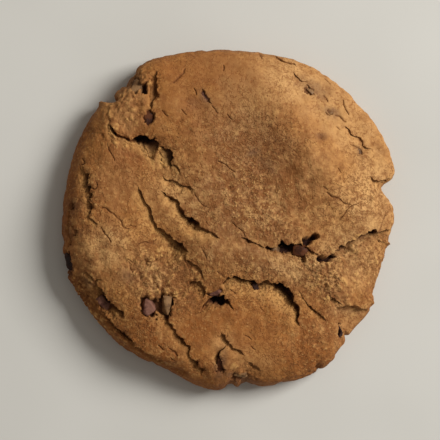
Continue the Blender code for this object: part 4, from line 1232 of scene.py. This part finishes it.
# Camera: it looks down, tipped a little so that the near left side shows
CAMERA_TILT = math.radians(9)
CAMERA_BEARING = math.radians(225)
CAMERA_DISTANCE = 0.48  # metres
CAMERA_AIM = (-2.7, -0.66, 6.0)     # from the middle of the base
CAMERA_WIDTH = 110.8    # of what the picture shows, at the aim
SENSOR_WIDTH = 36.0


def direction(bearing, height):
    """The direction of a bearing and a height above the horizon."""
    return Vector((math.cos(height) * math.cos(bearing), math.cos(height) * math.sin(bearing),
                   math.sin(height)))


def make_floor():
    corners = [(-TABLE_HALF, -TABLE_HALF, 0), (TABLE_HALF, -TABLE_HALF, 0),
               (TABLE_HALF, TABLE_HALF, 0), (-TABLE_HALF, TABLE_HALF, 0)]
    mesh = bpy.data.meshes.new("table_top")
    mesh.from_pydata(corners, [], [(0, 1, 2, 3)])
    s = Shading("pale_table")
    s.colour = s.mix(s.ramp(s.noise(60.0), 0.3, 0.7), *TABLE_TONES)
    mesh.materials.append(s.finish(0.6, s.bump(s.noise(6.0), 0.05, 0.2), 0.3))
    floor = add_object("table_top", mesh)


def make_lights():
    world = bpy.data.worlds.new("soft_room")
    bpy.context.scene.world = world
    world.use_nodes = True
    background = world.node_tree.nodes["Background"]
    background.inputs["Color"].default_value = ROOM_COLOUR
    background.inputs["Strength"].default_value = ROOM_STRENGTH
    lamp = bpy.data.lights.new("window", "AREA")
    lamp.size = LAMP_SIZE
    lamp.energy = LAMP_POWER
    lamp.color = LAMP_COLOUR
    light = add_object("window", lamp)
    light.location = LAMP_DISTANCE * direction(LAMP_BEARING, LAMP_HEIGHT)
    light.rotation_euler = (-light.location).to_track_quat("-Z", "Y").to_euler()


def make_camera(box):
    low, high = box
    middle = (low + high) / 2
    target = Vector((middle.x, middle.y, 0.0)) + Vector(CAMERA_AIM) * MM
    way = direction(CAMERA_BEARING, math.pi / 2 - CAMERA_TILT)
    right = Vector((0, 1, 0)).cross(way).normalized()
    turn = Matrix((right, way.cross(right), way)).transposed().to_4x4()
    camera = add_object("camera", bpy.data.cameras.new("camera"))
    camera.matrix_world = Matrix.Translation(target + way * CAMERA_DISTANCE) @ turn
    camera.data.sensor_width = SENSOR_WIDTH
    camera.data.lens = SENSOR_WIDTH * CAMERA_DISTANCE / (CAMERA_WIDTH * MM)
    camera.data.clip_start = 0.01
    bpy.context.scene.camera = camera


def main():
    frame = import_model()
    cad_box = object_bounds()
    body = make_dough(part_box("dough"))
    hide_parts("dough")
    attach(body, "root")
    chocolates = {tint[0]: chocolate_material(*tint) for tint in (MAUVE, OLIVE, SHADED_BLACK, RED)}
    for name in sorted(frame["nodes"]):
        if name.startswith("chunk_"):
            material = chocolates[TINTS.get(name, MAUVE)[0]]
            sink = PROUD_SINK if name in PROUD else SKIN_DROP
            title = name.replace("chunk_", "chocolate_")
            piece = make_chunk(title, frame["nodes"][name], material, sink)
            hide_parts(name)
            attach(piece, "root")
    make_floor()
    make_lights()
    make_camera(cad_box)
    bpy.context.scene.view_settings.view_transform = "Standard"


main()
